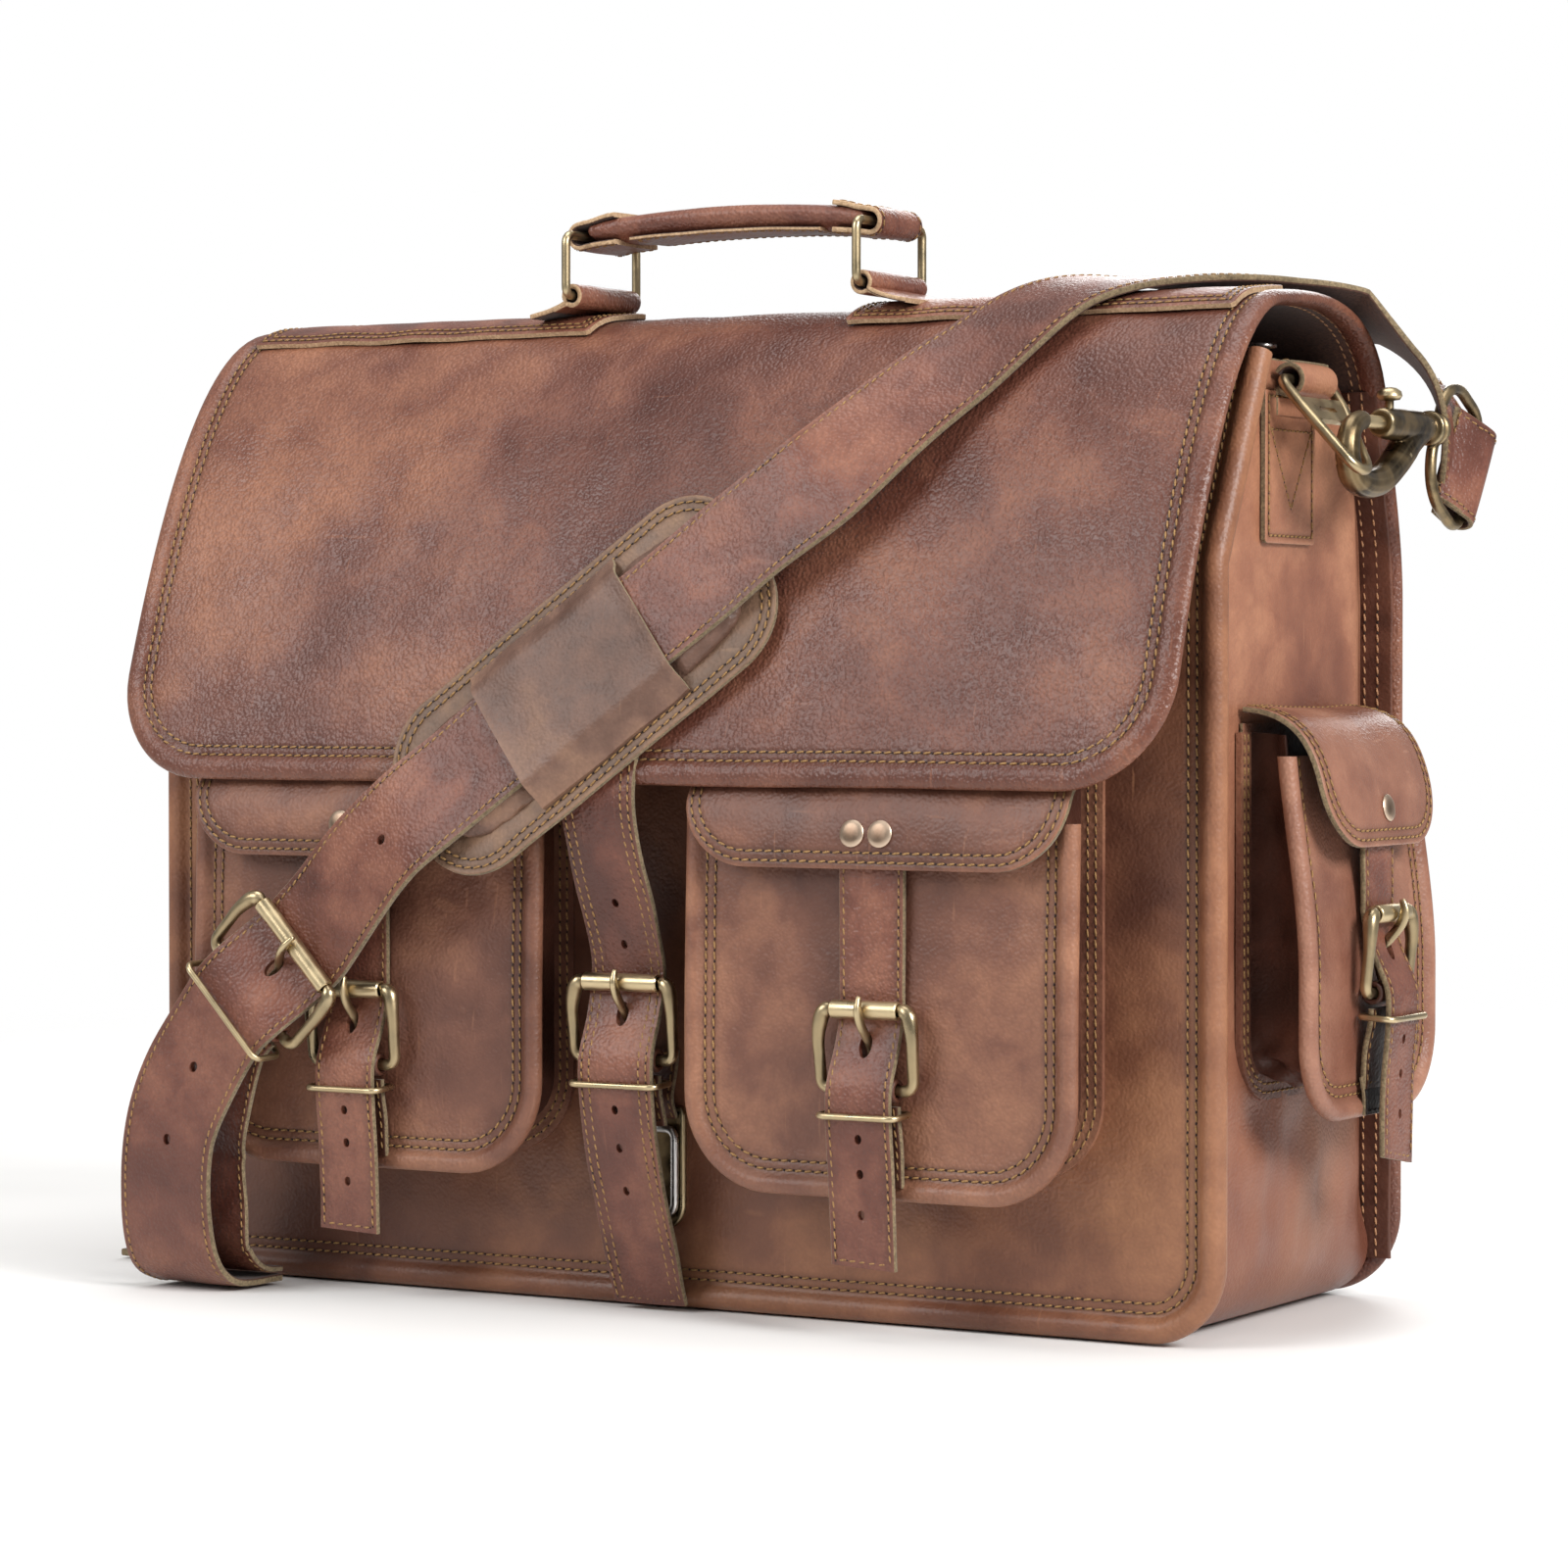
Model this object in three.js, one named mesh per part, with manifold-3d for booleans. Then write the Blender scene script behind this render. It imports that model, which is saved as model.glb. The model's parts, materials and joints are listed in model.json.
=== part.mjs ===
// Leather satchel bag with a full main flap, two front pockets, two side pockets, a top
// handle and a shoulder strap. Millimetres, +Z up, front towards -Y, the origin at the
// middle of the bottom, on the surface the bag stands on.
import * as THREE from 'three';
import { mergeVertices } from 'three/addons/utils/BufferGeometryUtils.js';
import Module from 'manifold-3d';

const wasm = await Module();
wasm.setup();

// ---- driving dimensions ------------------------------------------------------------------

const GAP = 0.3;                  // clearance between neighbouring pieces
const LEATHER = 3;                // body leather
const STRAP_THICK = 2;            // belt straps of the pockets and the centre
const FLAP_LEATHER = 2.4;         // flaps of the pockets
const WIRE_PLAY = 0.6;            // clearance between a leather loop and the wire inside it
const BEYOND = 100;               // how far a cutting shape reaches past the piece it cuts

const BODY_HALF_WIDTH = 208;      // outer face of the gusset's sides
const BODY_HALF_DEPTH = 78;       // outer faces of the front and back panels
const BODY_TOP = 333;             // top edge of the gusset and front panel
const LEAN_START = 262;           // height where the front panel starts to lean back
const FRONT_TOP_Y = -44;          // outer face of the front panel at its top edge
const BODY_CORNER = 24;           // bottom corner radius of the gusset
const PIPING_RADIUS = 4.5;        // rolled edge around the front panel
const RIM_RADIUS = 3;             // rolled edge under the back panel
const GUSSET_BACK_TOP_Y = 48;     // where the gusset's top edge ends, short of the fold
const FRONT_HALF_WIDTH = 211;     // front panel, inside its rolled edge
const BACK_HALF_WIDTH = 216;      // back panel, which stands proud of the gusset as a flange
const HINGE = { y: 66, z: 320 };  // fold between back panel and main flap, on the outer face

const FLAP_HALF_WIDTH = 216.5;
const FLAP_THICK = 3.5;
const FLAP_BOTTOM = 187;
const FLAP_CORNER = 40;

// face is where the outside of the pocket is; backTop is the top edge against the bag.
const FRONT_POCKET = {
  x: 106, halfWidth: 76, bottom: 47, top: 176, backTop: 190, corner: 34, face: -112,
};
const SIDE_POCKET = {
  y: 3, halfWidth: 54, bottom: 73, top: 187, backTop: 206, corner: 28, face: 238,
};
// drop is the height of the flap's lower edge, hingeZ the height of its seam.
const FRONT_FLAP = {
  halfWidth: 74, hingeY: -79, hingeZ: 197, drop: 159, corner: 26, rivets: [-5.4, 5.4], rivetZ: 171,
};
const SIDE_FLAP = { halfWidth: 46, hingeZ: 214, drop: 166, corner: 24, rivets: [0], rivetZ: 179 };

const POCKET_STRAP_HALF = 12.5;   // half of a 25 mm belt strap
const CENTRE = { strapHalf: 15, face: -98, rollerZ: 117 };
const SHOULDER_BUCKLE = { x: -120, y: -128.2, z: 128, turn: THREE.MathUtils.degToRad(47) };

const HANDLE = {
  y: -22, ringX: 61, barLow: 364, barHigh: 386, ringHalf: 24, wire: 1.8,
  gripHalf: 17, gripThick: 7, gripReach: 57, arch: 3,
};
const RING_AXIS = { x: 215, z: 326 };    // top bar of each triangular ring
const RING_TILT = THREE.MathUtils.degToRad(40);
const HOOK = {
  x: 235.6, z: 312, throatY: -3.5, nose: 10.5, barrelFront: 14, barrelBack: 54, swivelY: 64,
};

const LONG_STRAP = { halfWidth: 20, thick: 2.5 };
const PAD_POSE = { x: -11, s: 34, angle: THREE.MathUtils.degToRad(40) };
const ZIP = { z: BODY_TOP + GAP, thick: 1.6, y: 4, teethHalf: 2, teethHigh: 2.6 };
const SLIDER = { x: 176, half: 6, plate: 2, pullLength: 24, pullHalf: 3 };

// ---- small geometry tools ------------------------------------------------------------------

const v2 = (a, b) => new THREE.Vector2(a, b);
const v3 = (x, y, z) => new THREE.Vector3(x, y, z);

// Local x, y, z of a geometry become the world directions a, b, c.
const turned = (geometry, a, b, c) =>
  geometry.applyMatrix4(new THREE.Matrix4().makeBasis(a, b, c));
const AXIS = { x: v3(1, 0, 0), y: v3(0, 1, 0), z: v3(0, 0, 1), yBack: v3(0, -1, 0) };

function extrude(shape, depth, segments = 3) {
  return new THREE.ExtrudeGeometry(shape, { depth, bevelEnabled: false, curveSegments: segments });
}

// An outline in (y, z), given thickness along X.
function alongX(outline, x0, x1) {
  const shape = Array.isArray(outline) ? new THREE.Shape(outline) : outline;
  return turned(extrude(shape, x1 - x0), AXIS.y, AXIS.z, AXIS.x).translate(x0, 0, 0);
}

// An outline in (x, z), given thickness along Y.
function alongY(outline, y0, y1) {
  const shape = Array.isArray(outline) ? new THREE.Shape(outline) : outline;
  return turned(extrude(shape, y1 - y0), AXIS.x, AXIS.z, AXIS.yBack).translate(0, y1, 0);
}

// A rectangle whose two lower corners are rounded.
function pocketOutline(halfWidth, bottom, top, corner) {
  const shape = new THREE.Shape();
  shape.moveTo(halfWidth, top);
  shape.lineTo(-halfWidth, top);
  shape.lineTo(-halfWidth, bottom + corner);
  shape.absarc(-halfWidth + corner, bottom + corner, corner, Math.PI, 1.5 * Math.PI);
  shape.absarc(halfWidth - corner, bottom + corner, corner, 1.5 * Math.PI, 2 * Math.PI);
  return shape;
}

function solid(geometry) {
  const plain = geometry.index ? geometry.clone() : geometry;
  plain.deleteAttribute('normal');
  plain.deleteAttribute('uv');
  const merged = mergeVertices(plain, 1e-4);
  return new wasm.Manifold(new wasm.Mesh({
    numProp: 3,
    vertProperties: new Float32Array(merged.attributes.position.array),
    triVerts: new Uint32Array(merged.index.array),
  }));
}

function geometryOf(manifold) {
  const mesh = manifold.getMesh();
  const geometry = new THREE.BufferGeometry();
  geometry.setAttribute('position', new THREE.BufferAttribute(mesh.vertProperties, 3));
  geometry.setIndex(new THREE.BufferAttribute(mesh.triVerts, 1));
  return geometry;
}

const box = (x0, x1, y0, y1, z0, z1) =>
  new THREE.BoxGeometry(x1 - x0, y1 - y0, z1 - z0)
    .translate((x0 + x1) / 2, (y0 + y1) / 2, (z0 + z1) / 2);

const union = (...parts) => geometryOf(parts.map(solid).reduce((sum, part) => sum.add(part)));
const common = (a, b) => geometryOf(solid(a).intersect(solid(b)));
const cut = (body, ...tools) =>
  geometryOf(tools.map(solid).reduce((left, tool) => left.subtract(tool), solid(body)));

// Reverses the winding of a geometry after it is mirrored, so its faces still point out.
function mirroredX(geometry) {
  const copy = geometry.index ? geometry.clone() : mergeVertices(geometry);
  copy.scale(-1, 1, 1);
  const index = copy.index.array;
  for (let i = 0; i < index.length; i += 3) {
    [index[i], index[i + 1]] = [index[i + 1], index[i]];
  }
  return copy;
}

// A flat strap bent along a path. Each stop has a place p and the way its outer face looks, n.
function ribbon(stops, halfWidth, thickness, steps = 3 * stops.length) {
  const path = new THREE.CatmullRomCurve3(stops.map((stop) => stop.p));
  const facing = new THREE.CatmullRomCurve3(stops.map((stop) => stop.n));
  const geometry = new THREE.BoxGeometry(1, 1, 1, steps, 1, 1);
  const position = geometry.attributes.position;
  for (let i = 0; i < position.count; i += 1) {
    const t = position.getX(i) + 0.5;
    const along = path.getTangent(t);
    const across = facing.getPoint(t).cross(along).normalize();
    const out = along.clone().cross(across);
    const place = path.getPoint(t)
      .addScaledVector(across, position.getY(i) * 2 * halfWidth)
      .addScaledVector(out, position.getZ(i) * thickness);
    position.setXYZ(i, place.x, place.y, place.z);
  }
  return geometry;
}

// The outline of a rectangle with rounded corners as a closed curve, centred on the origin.
class RoundedLoop extends THREE.Curve {
  constructor(halfA, halfB, corner, place) {
    super();
    const shape = new THREE.Shape();
    shape.moveTo(halfA, -halfB + corner);
    shape.absarc(halfA - corner, halfB - corner, corner, 0, 0.5 * Math.PI);
    shape.absarc(-halfA + corner, halfB - corner, corner, 0.5 * Math.PI, Math.PI);
    shape.absarc(-halfA + corner, -halfB + corner, corner, Math.PI, 1.5 * Math.PI);
    shape.absarc(halfA - corner, -halfB + corner, corner, 1.5 * Math.PI, 2 * Math.PI);
    this.outline = shape;
    this.place = place;
  }

  getPoint(t) {
    const point = this.outline.getPoint(t % 1);
    return this.place(point.x, point.y);
  }
}

const wireLoop = (halfA, halfB, corner, radius, place, steps = 20) =>
  new THREE.TubeGeometry(new RoundedLoop(halfA, halfB, corner, place), steps, radius, 5, true);

// A round rod of the given radius along an open path.
function rod(points, radius, steps = 4 * points.length, sides = 6) {
  const section = new THREE.Shape();
  section.absarc(0, 0, radius, 0, 2 * Math.PI);
  return new THREE.ExtrudeGeometry(section, {
    steps,
    curveSegments: sides / 2,
    bevelEnabled: false,
    extrudePath: new THREE.CatmullRomCurve3(points),
  });
}

// A sleeve around the Z axis, from z0 to z1. An inner radius of 0 gives a plain rod.
function sleeve(inner, outer, z0, z1, sides = 10) {
  const profile = [v2(inner, z0), v2(outer, z0), v2(outer, z1), v2(inner, z1)];
  if (inner > 0) profile.push(v2(inner, z0));
  return turned(new THREE.LatheGeometry(profile, sides), AXIS.x, AXIS.z, AXIS.yBack);
}

const sleeveAlongX = (inner, outer, x0, x1) =>
  turned(sleeve(inner, outer, x0, x1), AXIS.y, AXIS.z, AXIS.x);
const sleeveAlongY = (inner, outer, y0, y1) =>
  turned(sleeve(inner, outer, y0, y1), AXIS.z, AXIS.x, AXIS.y);

// ---- materials and placing -----------------------------------------------------------------

const leather = (colour) => new THREE.MeshStandardMaterial({ color: colour, roughness: 0.6 });
const brass = () => new THREE.MeshStandardMaterial({ color: 0x8a7a52, roughness: 0.35, metalness: 1 });
const nickel = () => new THREE.MeshStandardMaterial({ color: 0xb9bcbf, roughness: 0.25, metalness: 1 });
const cloth = () => new THREE.MeshStandardMaterial({ color: 0x3b2f28, roughness: 0.9 });
const BODY_BROWN = 0x8a5a42;
const FLAP_BROWN = 0x7a4c3a;
const STRAP_BROWN = 0x74473a;
const DARK_BROWN = 0x5a3226;

const bag = new THREE.Group();

function piece(name, geometry, material, parent = bag) {
  const mesh = new THREE.Mesh(geometry, material);
  mesh.name = name;
  parent.add(mesh);
  return mesh;
}

// ---- body ----------------------------------------------------------------------------------

const FRONT_LEAN = Math.atan2(BODY_HALF_DEPTH + FRONT_TOP_Y, BODY_TOP - LEAN_START);

// Outer face of the front panel, from the bottom up.
function frontFace(inset) {
  return [v2(-BODY_HALF_DEPTH + inset, 0), v2(-BODY_HALF_DEPTH + inset, LEAN_START),
    v2(FRONT_TOP_Y + inset / Math.cos(FRONT_LEAN), BODY_TOP)];
}

// Outer face of the back panel, from the bottom up to the fold.
function backFace(offset, bottom = 0, steps = 6) {
  const leanStart = HINGE.z - 70;
  const fold = new THREE.CubicBezierCurve(
    v2(BODY_HALF_DEPTH, leanStart), v2(BODY_HALF_DEPTH, leanStart + 26),
    v2(HINGE.y + 5, HINGE.z - 23), v2(HINGE.y, HINGE.z));
  const points = [v2(BODY_HALF_DEPTH - offset, bottom)];
  for (let i = 0; i <= steps; i += 1) {
    const along = fold.getTangent(i / steps);
    points.push(fold.getPoint(i / steps).add(v2(-along.y, along.x).multiplyScalar(offset)));
  }
  return points;
}

function gusset() {
  const half = BODY_HALF_WIDTH;
  const strip = cut(
    alongY(pocketOutline(half, 0, BODY_TOP, BODY_CORNER), -BODY_HALF_DEPTH, BODY_HALF_DEPTH),
    alongY(pocketOutline(half - LEATHER, LEATHER, BODY_TOP + BEYOND, BODY_CORNER - LEATHER),
      -BEYOND, BEYOND));
  const inset = LEATHER + GAP;
  const side = [...frontFace(inset), v2(GUSSET_BACK_TOP_Y, BODY_TOP), ...backFace(inset).reverse()];
  return common(strip, alongX(side, -half - BEYOND, half + BEYOND));
}

// A rolled edge that runs down one side of a panel, along the bottom and up the other side.
function rolledEdge(halfWidth, radius, bottom, corner, sideY, top) {
  const points = [];
  const low = bottom + corner;
  const straight = (LEAN_START - low) / 3;
  for (const z of [top, (top + LEAN_START) / 2, LEAN_START, low + 2 * straight, low + straight, low]) {
    points.push(v3(halfWidth, sideY(z), z));
  }
  for (const turn of [0.25, 0.5, 0.75, 1]) {
    const angle = turn * Math.PI / 2;
    points.push(v3(halfWidth - corner * (1 - Math.cos(angle)), sideY(0), low - corner * Math.sin(angle)));
  }
  points.push(v3(halfWidth / 3, sideY(0), bottom));
  const otherSide = points.map((p) => v3(-p.x, p.y, p.z)).reverse();
  return rod([...points, ...otherSide], radius, 3 * points.length + 23);
}

function frontPanel() {
  const inner = frontFace(LEATHER).reverse();
  const lift = PIPING_RADIUS + 1;
  const sheet = common(
    alongX([...frontFace(0), ...inner], -FRONT_HALF_WIDTH, FRONT_HALF_WIDTH),
    alongY(pocketOutline(FRONT_HALF_WIDTH, lift + 2.5, BODY_TOP, BODY_CORNER), -BEYOND, 0));
  const pipingY = -BODY_HALF_DEPTH - 1.6;
  const seamY = (z) => pipingY + Math.max(0, z - LEAN_START) * Math.tan(FRONT_LEAN);
  const seam = rolledEdge(FRONT_HALF_WIDTH + 4, PIPING_RADIUS, lift, BODY_CORNER, seamY, BODY_TOP - 1);
  return union(sheet, seam);
}

function backPanel() {
  const corner = 30;
  const faces = [...backFace(0), ...backFace(LEATHER).reverse()];
  const sheet = common(
    alongX(faces, -BACK_HALF_WIDTH, BACK_HALF_WIDTH),
    alongY(pocketOutline(BACK_HALF_WIDTH, RIM_RADIUS + 1, BODY_TOP + BEYOND, corner), 0, BEYOND));
  const rimHalf = BACK_HALF_WIDTH - corner + 2;
  const rimPoints = [-rimHalf, 0, rimHalf].map((x) => v3(x, BODY_HALF_DEPTH + 0.1, RIM_RADIUS + 0.4));
  return union(sheet, rod(rimPoints, RIM_RADIUS, 4));
}

// Leather strips either side of a row of teeth, closing the top of the body.
function zipPanel() {
  const half = BODY_HALF_WIDTH - 6;
  const teethEnd = half - 8;
  return union(
    box(-half, half, FRONT_TOP_Y + 6, GUSSET_BACK_TOP_Y - 2, ZIP.z, ZIP.z + ZIP.thick),
    box(-teethEnd, teethEnd, ZIP.y - ZIP.teethHalf, ZIP.y + ZIP.teethHalf,
      ZIP.z + ZIP.thick / 2, ZIP.z + ZIP.thick + ZIP.teethHigh));
}

// The slider straddles the teeth; its pull lies over to the right.
function zipSlider() {
  const { half, plate, pullLength, pullHalf } = SLIDER;
  const floor = ZIP.z + ZIP.thick + GAP;
  const roof = ZIP.z + ZIP.thick + ZIP.teethHigh + GAP;
  const inner = ZIP.teethHalf + GAP;
  return union(
    box(-half, half, ZIP.y - inner - plate, ZIP.y - inner, floor, roof + plate),
    box(-half, half, ZIP.y + inner, ZIP.y + inner + plate, floor, roof + plate),
    box(-half, half, ZIP.y - inner - plate / 2, ZIP.y + inner + plate / 2, roof, roof + plate),
    box(-plate, pullLength, ZIP.y - pullHalf, ZIP.y + pullHalf, roof + 1, roof + 2.6))
    .translate(SLIDER.x, 0, 0);
}

// A stiff sleeve for a laptop, standing between the pockets of the lining.
function laptopDivider() {
  const outline = pocketOutline(BODY_HALF_WIDTH - 8, LEATHER + GAP, LEAN_START + 24, BODY_CORNER);
  return alongY(outline, 34, 38);
}

piece('gusset', gusset(), leather(BODY_BROWN));
piece('front_panel', frontPanel(), leather(BODY_BROWN));
piece('back_panel', backPanel(), leather(BODY_BROWN));
piece('laptop_divider', laptopDivider(), cloth());
piece('zip_panel', zipPanel(), leather(DARK_BROWN));
piece('zip_slider', zipSlider(), nickel());

// ---- main flap -----------------------------------------------------------------------------

// Outer face of the flap from its front edge, over the top, to the fold at the back.
const flapFront = v2(-118, FLAP_BOTTOM);
const flapCrest = v2(HANDLE.y, 355.5);
const flapFold = v2(HINGE.y, HINGE.z + 0.5);
const flapCurve = new THREE.CurvePath();
flapCurve.add(new THREE.CubicBezierCurve(flapFront, v2(-104, 240), v2(-72, 352), flapCrest));
flapCurve.add(new THREE.CubicBezierCurve(flapCrest, v2(6, 357.5), v2(58, 362), flapFold));
const FLAP_LENGTH = flapCurve.getLength();

// Place and outward direction on the flap, s millimetres up from its front edge.
function onFlap(x, s, offset) {
  const t = THREE.MathUtils.clamp(s / FLAP_LENGTH, 0, 1);
  const step = 1e-3;
  const a = flapCurve.getPoint(Math.max(0, t - step));
  const b = flapCurve.getPoint(Math.min(1, t + step));
  const up = b.sub(a).normalize();
  const n = v3(0, -up.y, up.x);
  const p = flapCurve.getPoint(t);
  return { p: v3(x, p.x, p.y).addScaledVector(n, offset), n, up: v3(0, up.x, up.y) };
}

// A sheet lying on the flap between two heights s, from one offset to another.
function flapSheet(s0, s1, low, high, x0, x1, steps) {
  const side = (offset) => Array.from({ length: steps + 1 }, (_, i) => {
    const { p } = onFlap(0, s0 + (s1 - s0) * i / steps, offset);
    return v2(p.y, p.z);
  });
  return alongX([...side(high), ...side(low).reverse()], x0, x1);
}

function mainFlap() {
  return common(
    flapSheet(0, FLAP_LENGTH, -FLAP_THICK, 0, -FLAP_HALF_WIDTH, FLAP_HALF_WIDTH, 20),
    alongY(pocketOutline(FLAP_HALF_WIDTH, FLAP_BOTTOM - 1, BODY_TOP + BEYOND, FLAP_CORNER),
      flapFront.x - BEYOND, BEYOND));
}

piece('main_flap', mainFlap(), leather(FLAP_BROWN));

// ---- handle --------------------------------------------------------------------------------

// A strip sewn across the top of the flap, with a raised loop around the lower bar of a ring.
function handleBase() {
  const { y, ringX, ringHalf, barLow, wire } = HANDLE;
  const stripLow = 182;
  const stripHigh = 223;
  const strip = flapSheet(stripLow, stripHigh, GAP, 2.8, ringX - 7, FLAP_HALF_WIDTH - 10.5, 4);
  const y0 = y - ringHalf + 5;
  const y1 = y + ringHalf - 4;
  const loopInner = wire + WIRE_PLAY;
  const loop = sleeveAlongY(loopInner, loopInner + 2.6, y0, y1).translate(ringX, 0, barLow);
  const foot = box(ringX + 1, ringX + 5, y0, y1, barLow - 12, barLow - 2.8);
  const block = common(foot, flapSheet(stripLow - 4, stripHigh + 5, 1.2, 16, 0, BEYOND, 4));
  return union(strip, loop, block);
}

function handleRing() {
  const { y, ringX, ringHalf, barLow, barHigh, wire } = HANDLE;
  return wireLoop(ringHalf, (barHigh - barLow) / 2, 3, wire,
    (a, b) => v3(ringX, y + a, (barLow + barHigh) / 2 + b));
}

// A padded bar, arched a little, with a loop at each end around the upper bar of its ring.
function handleGrip() {
  const { y, ringX, barHigh, wire, gripHalf, gripThick, gripReach, arch } = HANDLE;
  const loopInner = wire + WIRE_PLAY;
  const loops = [-1, 1].map((side) =>
    sleeveAlongY(loopInner, loopInner + 2.8, y - gripHalf - 1, y + gripHalf + 1)
      .translate(side * ringX, 0, barHigh));
  const rise = (x) => barHigh + 4 - arch * (x / ringX) ** 2;
  const stops = [-gripReach, -30, 0, 30, gripReach].map((x) => ({ p: v3(x, y, rise(x)), n: AXIS.z }));
  return union(ribbon(stops, gripHalf, gripThick, 12), ...loops);
}

const handleBaseRight = handleBase();
const handleRingRight = handleRing();
piece('handle_base_right', handleBaseRight, leather(STRAP_BROWN));
piece('handle_base_left', mirroredX(handleBaseRight), leather(STRAP_BROWN));
piece('handle_ring_right', handleRingRight, brass());
piece('handle_ring_left', mirroredX(handleRingRight), brass());
piece('handle_grip', handleGrip(), leather(STRAP_BROWN));

// ---- buckles -------------------------------------------------------------------------------

// A roller buckle is drawn in its own frame: X across the strap, -Y away from the bag, Z up,
// with the origin on the surface behind the roller. out(o, z) is a place o in front of it.
const out = (o, z, x = 0) => v3(x, -o, z);
const ROLLER = { o: 6.6, inner: 2.4, outer: 3.2 };
const BACK_BAR = { o: 5, z: -27, wire: 2 };
const KEEPER = { z: -35, wire: 0.95, back: 1.6, front: 14, sideRoom: 2.6 };
const TONGUE = { half: 2, thick: 2, slotHalf: 3, holeHalf: 2.6 };
const FRAME_SIDE_ROOM = 4.3;      // from the strap's edge to the middle of the frame's side wire

// Stops of a strap that faces the front, from places given as [distance in front, height].
const towardsFront = (points) => points.map(([o, z]) => ({ p: out(o, z), n: v3(0, -1, 0) }));

// The strap's path through the buckle: behind the roller, over the back bar, down the front.
const THROUGH_BUCKLE = [[1.8, 7], [1.8, 0], [5, -12], [10.8, -26], [11, -37]];

// The wire frame, with the tongue that lies over the strap from the back bar to the roller.
function buckleFrame(strapHalf) {
  const halfLength = -BACK_BAR.z / 2;
  const slope = (ROLLER.o - BACK_BAR.o) / BACK_BAR.z;
  const frame = wireLoop(strapHalf + FRAME_SIDE_ROOM, halfLength, 3, BACK_BAR.wire,
    (a, b) => out(ROLLER.o - (b - halfLength) * slope, b - halfLength, a), 28);
  const overStrap = [[BACK_BAR.o, BACK_BAR.z], [6.5, -18], [9.5, -8], [11.6, 0], [11.6, 4]];
  return union(frame, ribbon(towardsFront(overStrap), TONGUE.half, TONGUE.thick, 8));
}

const rollerSleeve = (strapHalf, inner, overhang) =>
  sleeveAlongX(inner, ROLLER.outer, -strapHalf - overhang, strapHalf + overhang)
    .translate(0, -ROLLER.o, 0);
const roller = (strapHalf) => rollerSleeve(strapHalf, ROLLER.inner, 0.6);

// The short strap that holds the back bar, with a slot for the tongue.
function chape(strapHalf, tail) {
  const loopInner = BACK_BAR.wire + 0.35;
  const loop = sleeveAlongX(loopInner, loopInner + 1.75, -strapHalf, strapHalf)
    .translate(0, -BACK_BAR.o, BACK_BAR.z);
  const strip = ribbon(towardsFront([[4.6, -30.2], [4.4, -36], ...tail]), strapHalf, STRAP_THICK);
  const slot = box(-TONGUE.slotHalf, TONGUE.slotHalf, -20, 5,
    BACK_BAR.z - 6.4, BACK_BAR.z + 9);
  return cut(union(loop, strip), slot);
}

// A wire keeper around the strap and the chape.
function keeper(strapHalf, front = KEEPER.front) {
  const middle = (front + KEEPER.back) / 2;
  return wireLoop(strapHalf + KEEPER.sideRoom, middle - KEEPER.back, 2, KEEPER.wire,
    (a, b) => out(middle + b, KEEPER.z, a), 16);
}

// The hole in the strap that the tongue goes through.
const tongueHole = () => box(-TONGUE.holeHalf, TONGUE.holeHalf, -22, 2, -23.5, -9.5);

// ---- pockets -------------------------------------------------------------------------------

// A box pocket in its own frame: its back on the plane y = 0, its face at y = -depth.
function pocket({ halfWidth, bottom, top, corner, backTop }, depth) {
  const shell = cut(
    alongY(pocketOutline(halfWidth, bottom, backTop, corner), -depth, 0),
    alongY(pocketOutline(halfWidth - LEATHER, bottom + LEATHER, backTop + BEYOND, corner - LEATHER),
      -depth + LEATHER, -LEATHER));
  const side = [v2(-depth - 1, 0), v2(-depth - 1, top), v2(-depth, top), v2(1, backTop), v2(1, 0)];
  return common(shell, alongX(side, -halfWidth - 1, halfWidth + 1));
}

// A pocket flap: outer is the curve of its upper face in (y, z), from the seam to the edge.
function pocketFlap(outer, { halfWidth, drop, corner, rivets, rivetZ }) {
  const steps = 7;
  const faces = [[], []];
  for (let i = 0; i <= steps; i += 1) {
    const p = outer.getPoint(i / steps);
    const along = outer.getTangent(i / steps);
    faces[0].push(p);
    faces[1].push(p.clone().add(v2(-along.y, along.x).multiplyScalar(FLAP_LEATHER)));
  }
  const outline = [...faces[0], ...faces[1].reverse()].reverse();
  const sheet = common(alongX(outline, -halfWidth, halfWidth),
    alongY(pocketOutline(halfWidth, drop - 0.5, drop + BEYOND, corner), -BEYOND, BEYOND));
  const faceY = outer.getPoint(0.86).x;
  const heads = rivets.map((x) => sleeveAlongY(0, 5, faceY - 2.2, faceY + 1.2).translate(x, 0, rivetZ));
  return union(sheet, ...heads);
}

// Where a pocket's chape runs down from the back bar to lie on the pocket's face.
const POCKET_CHAPE_TAIL = [[2.2, -47], [1.4, -60]];

// A pocket with everything that belongs to it, in the pocket's own frame.
function pocketSet(name, group, shape, flapShape, { outer, depth, rollerZ, strapTop, tail }) {
  piece(name('pocket'), pocket(shape, depth), leather(BODY_BROWN), group);
  piece(name('flap'), pocketFlap(outer, flapShape), leather(FLAP_BROWN), group);
  const buckle = new THREE.Group();
  buckle.position.set(0, -depth, rollerZ);
  group.add(buckle);
  const path = towardsFront([[1.6, strapTop - rollerZ], [1.6, 22], ...THROUGH_BUCKLE, ...tail]);
  piece(name('strap'), cut(ribbon(path, POCKET_STRAP_HALF, STRAP_THICK, 22), tongueHole()),
    leather(STRAP_BROWN), buckle);
  piece(name('chape'), chape(POCKET_STRAP_HALF - 0.5, POCKET_CHAPE_TAIL), leather(DARK_BROWN), buckle);
  piece(name('keeper'), keeper(POCKET_STRAP_HALF), brass(), buckle);
  return buckle;
}

const namer = (kind, side) => (part) =>
  (part === 'pocket' ? `${kind}_pocket_${side}` : `${kind}_pocket_${part}_${side}`);

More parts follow.
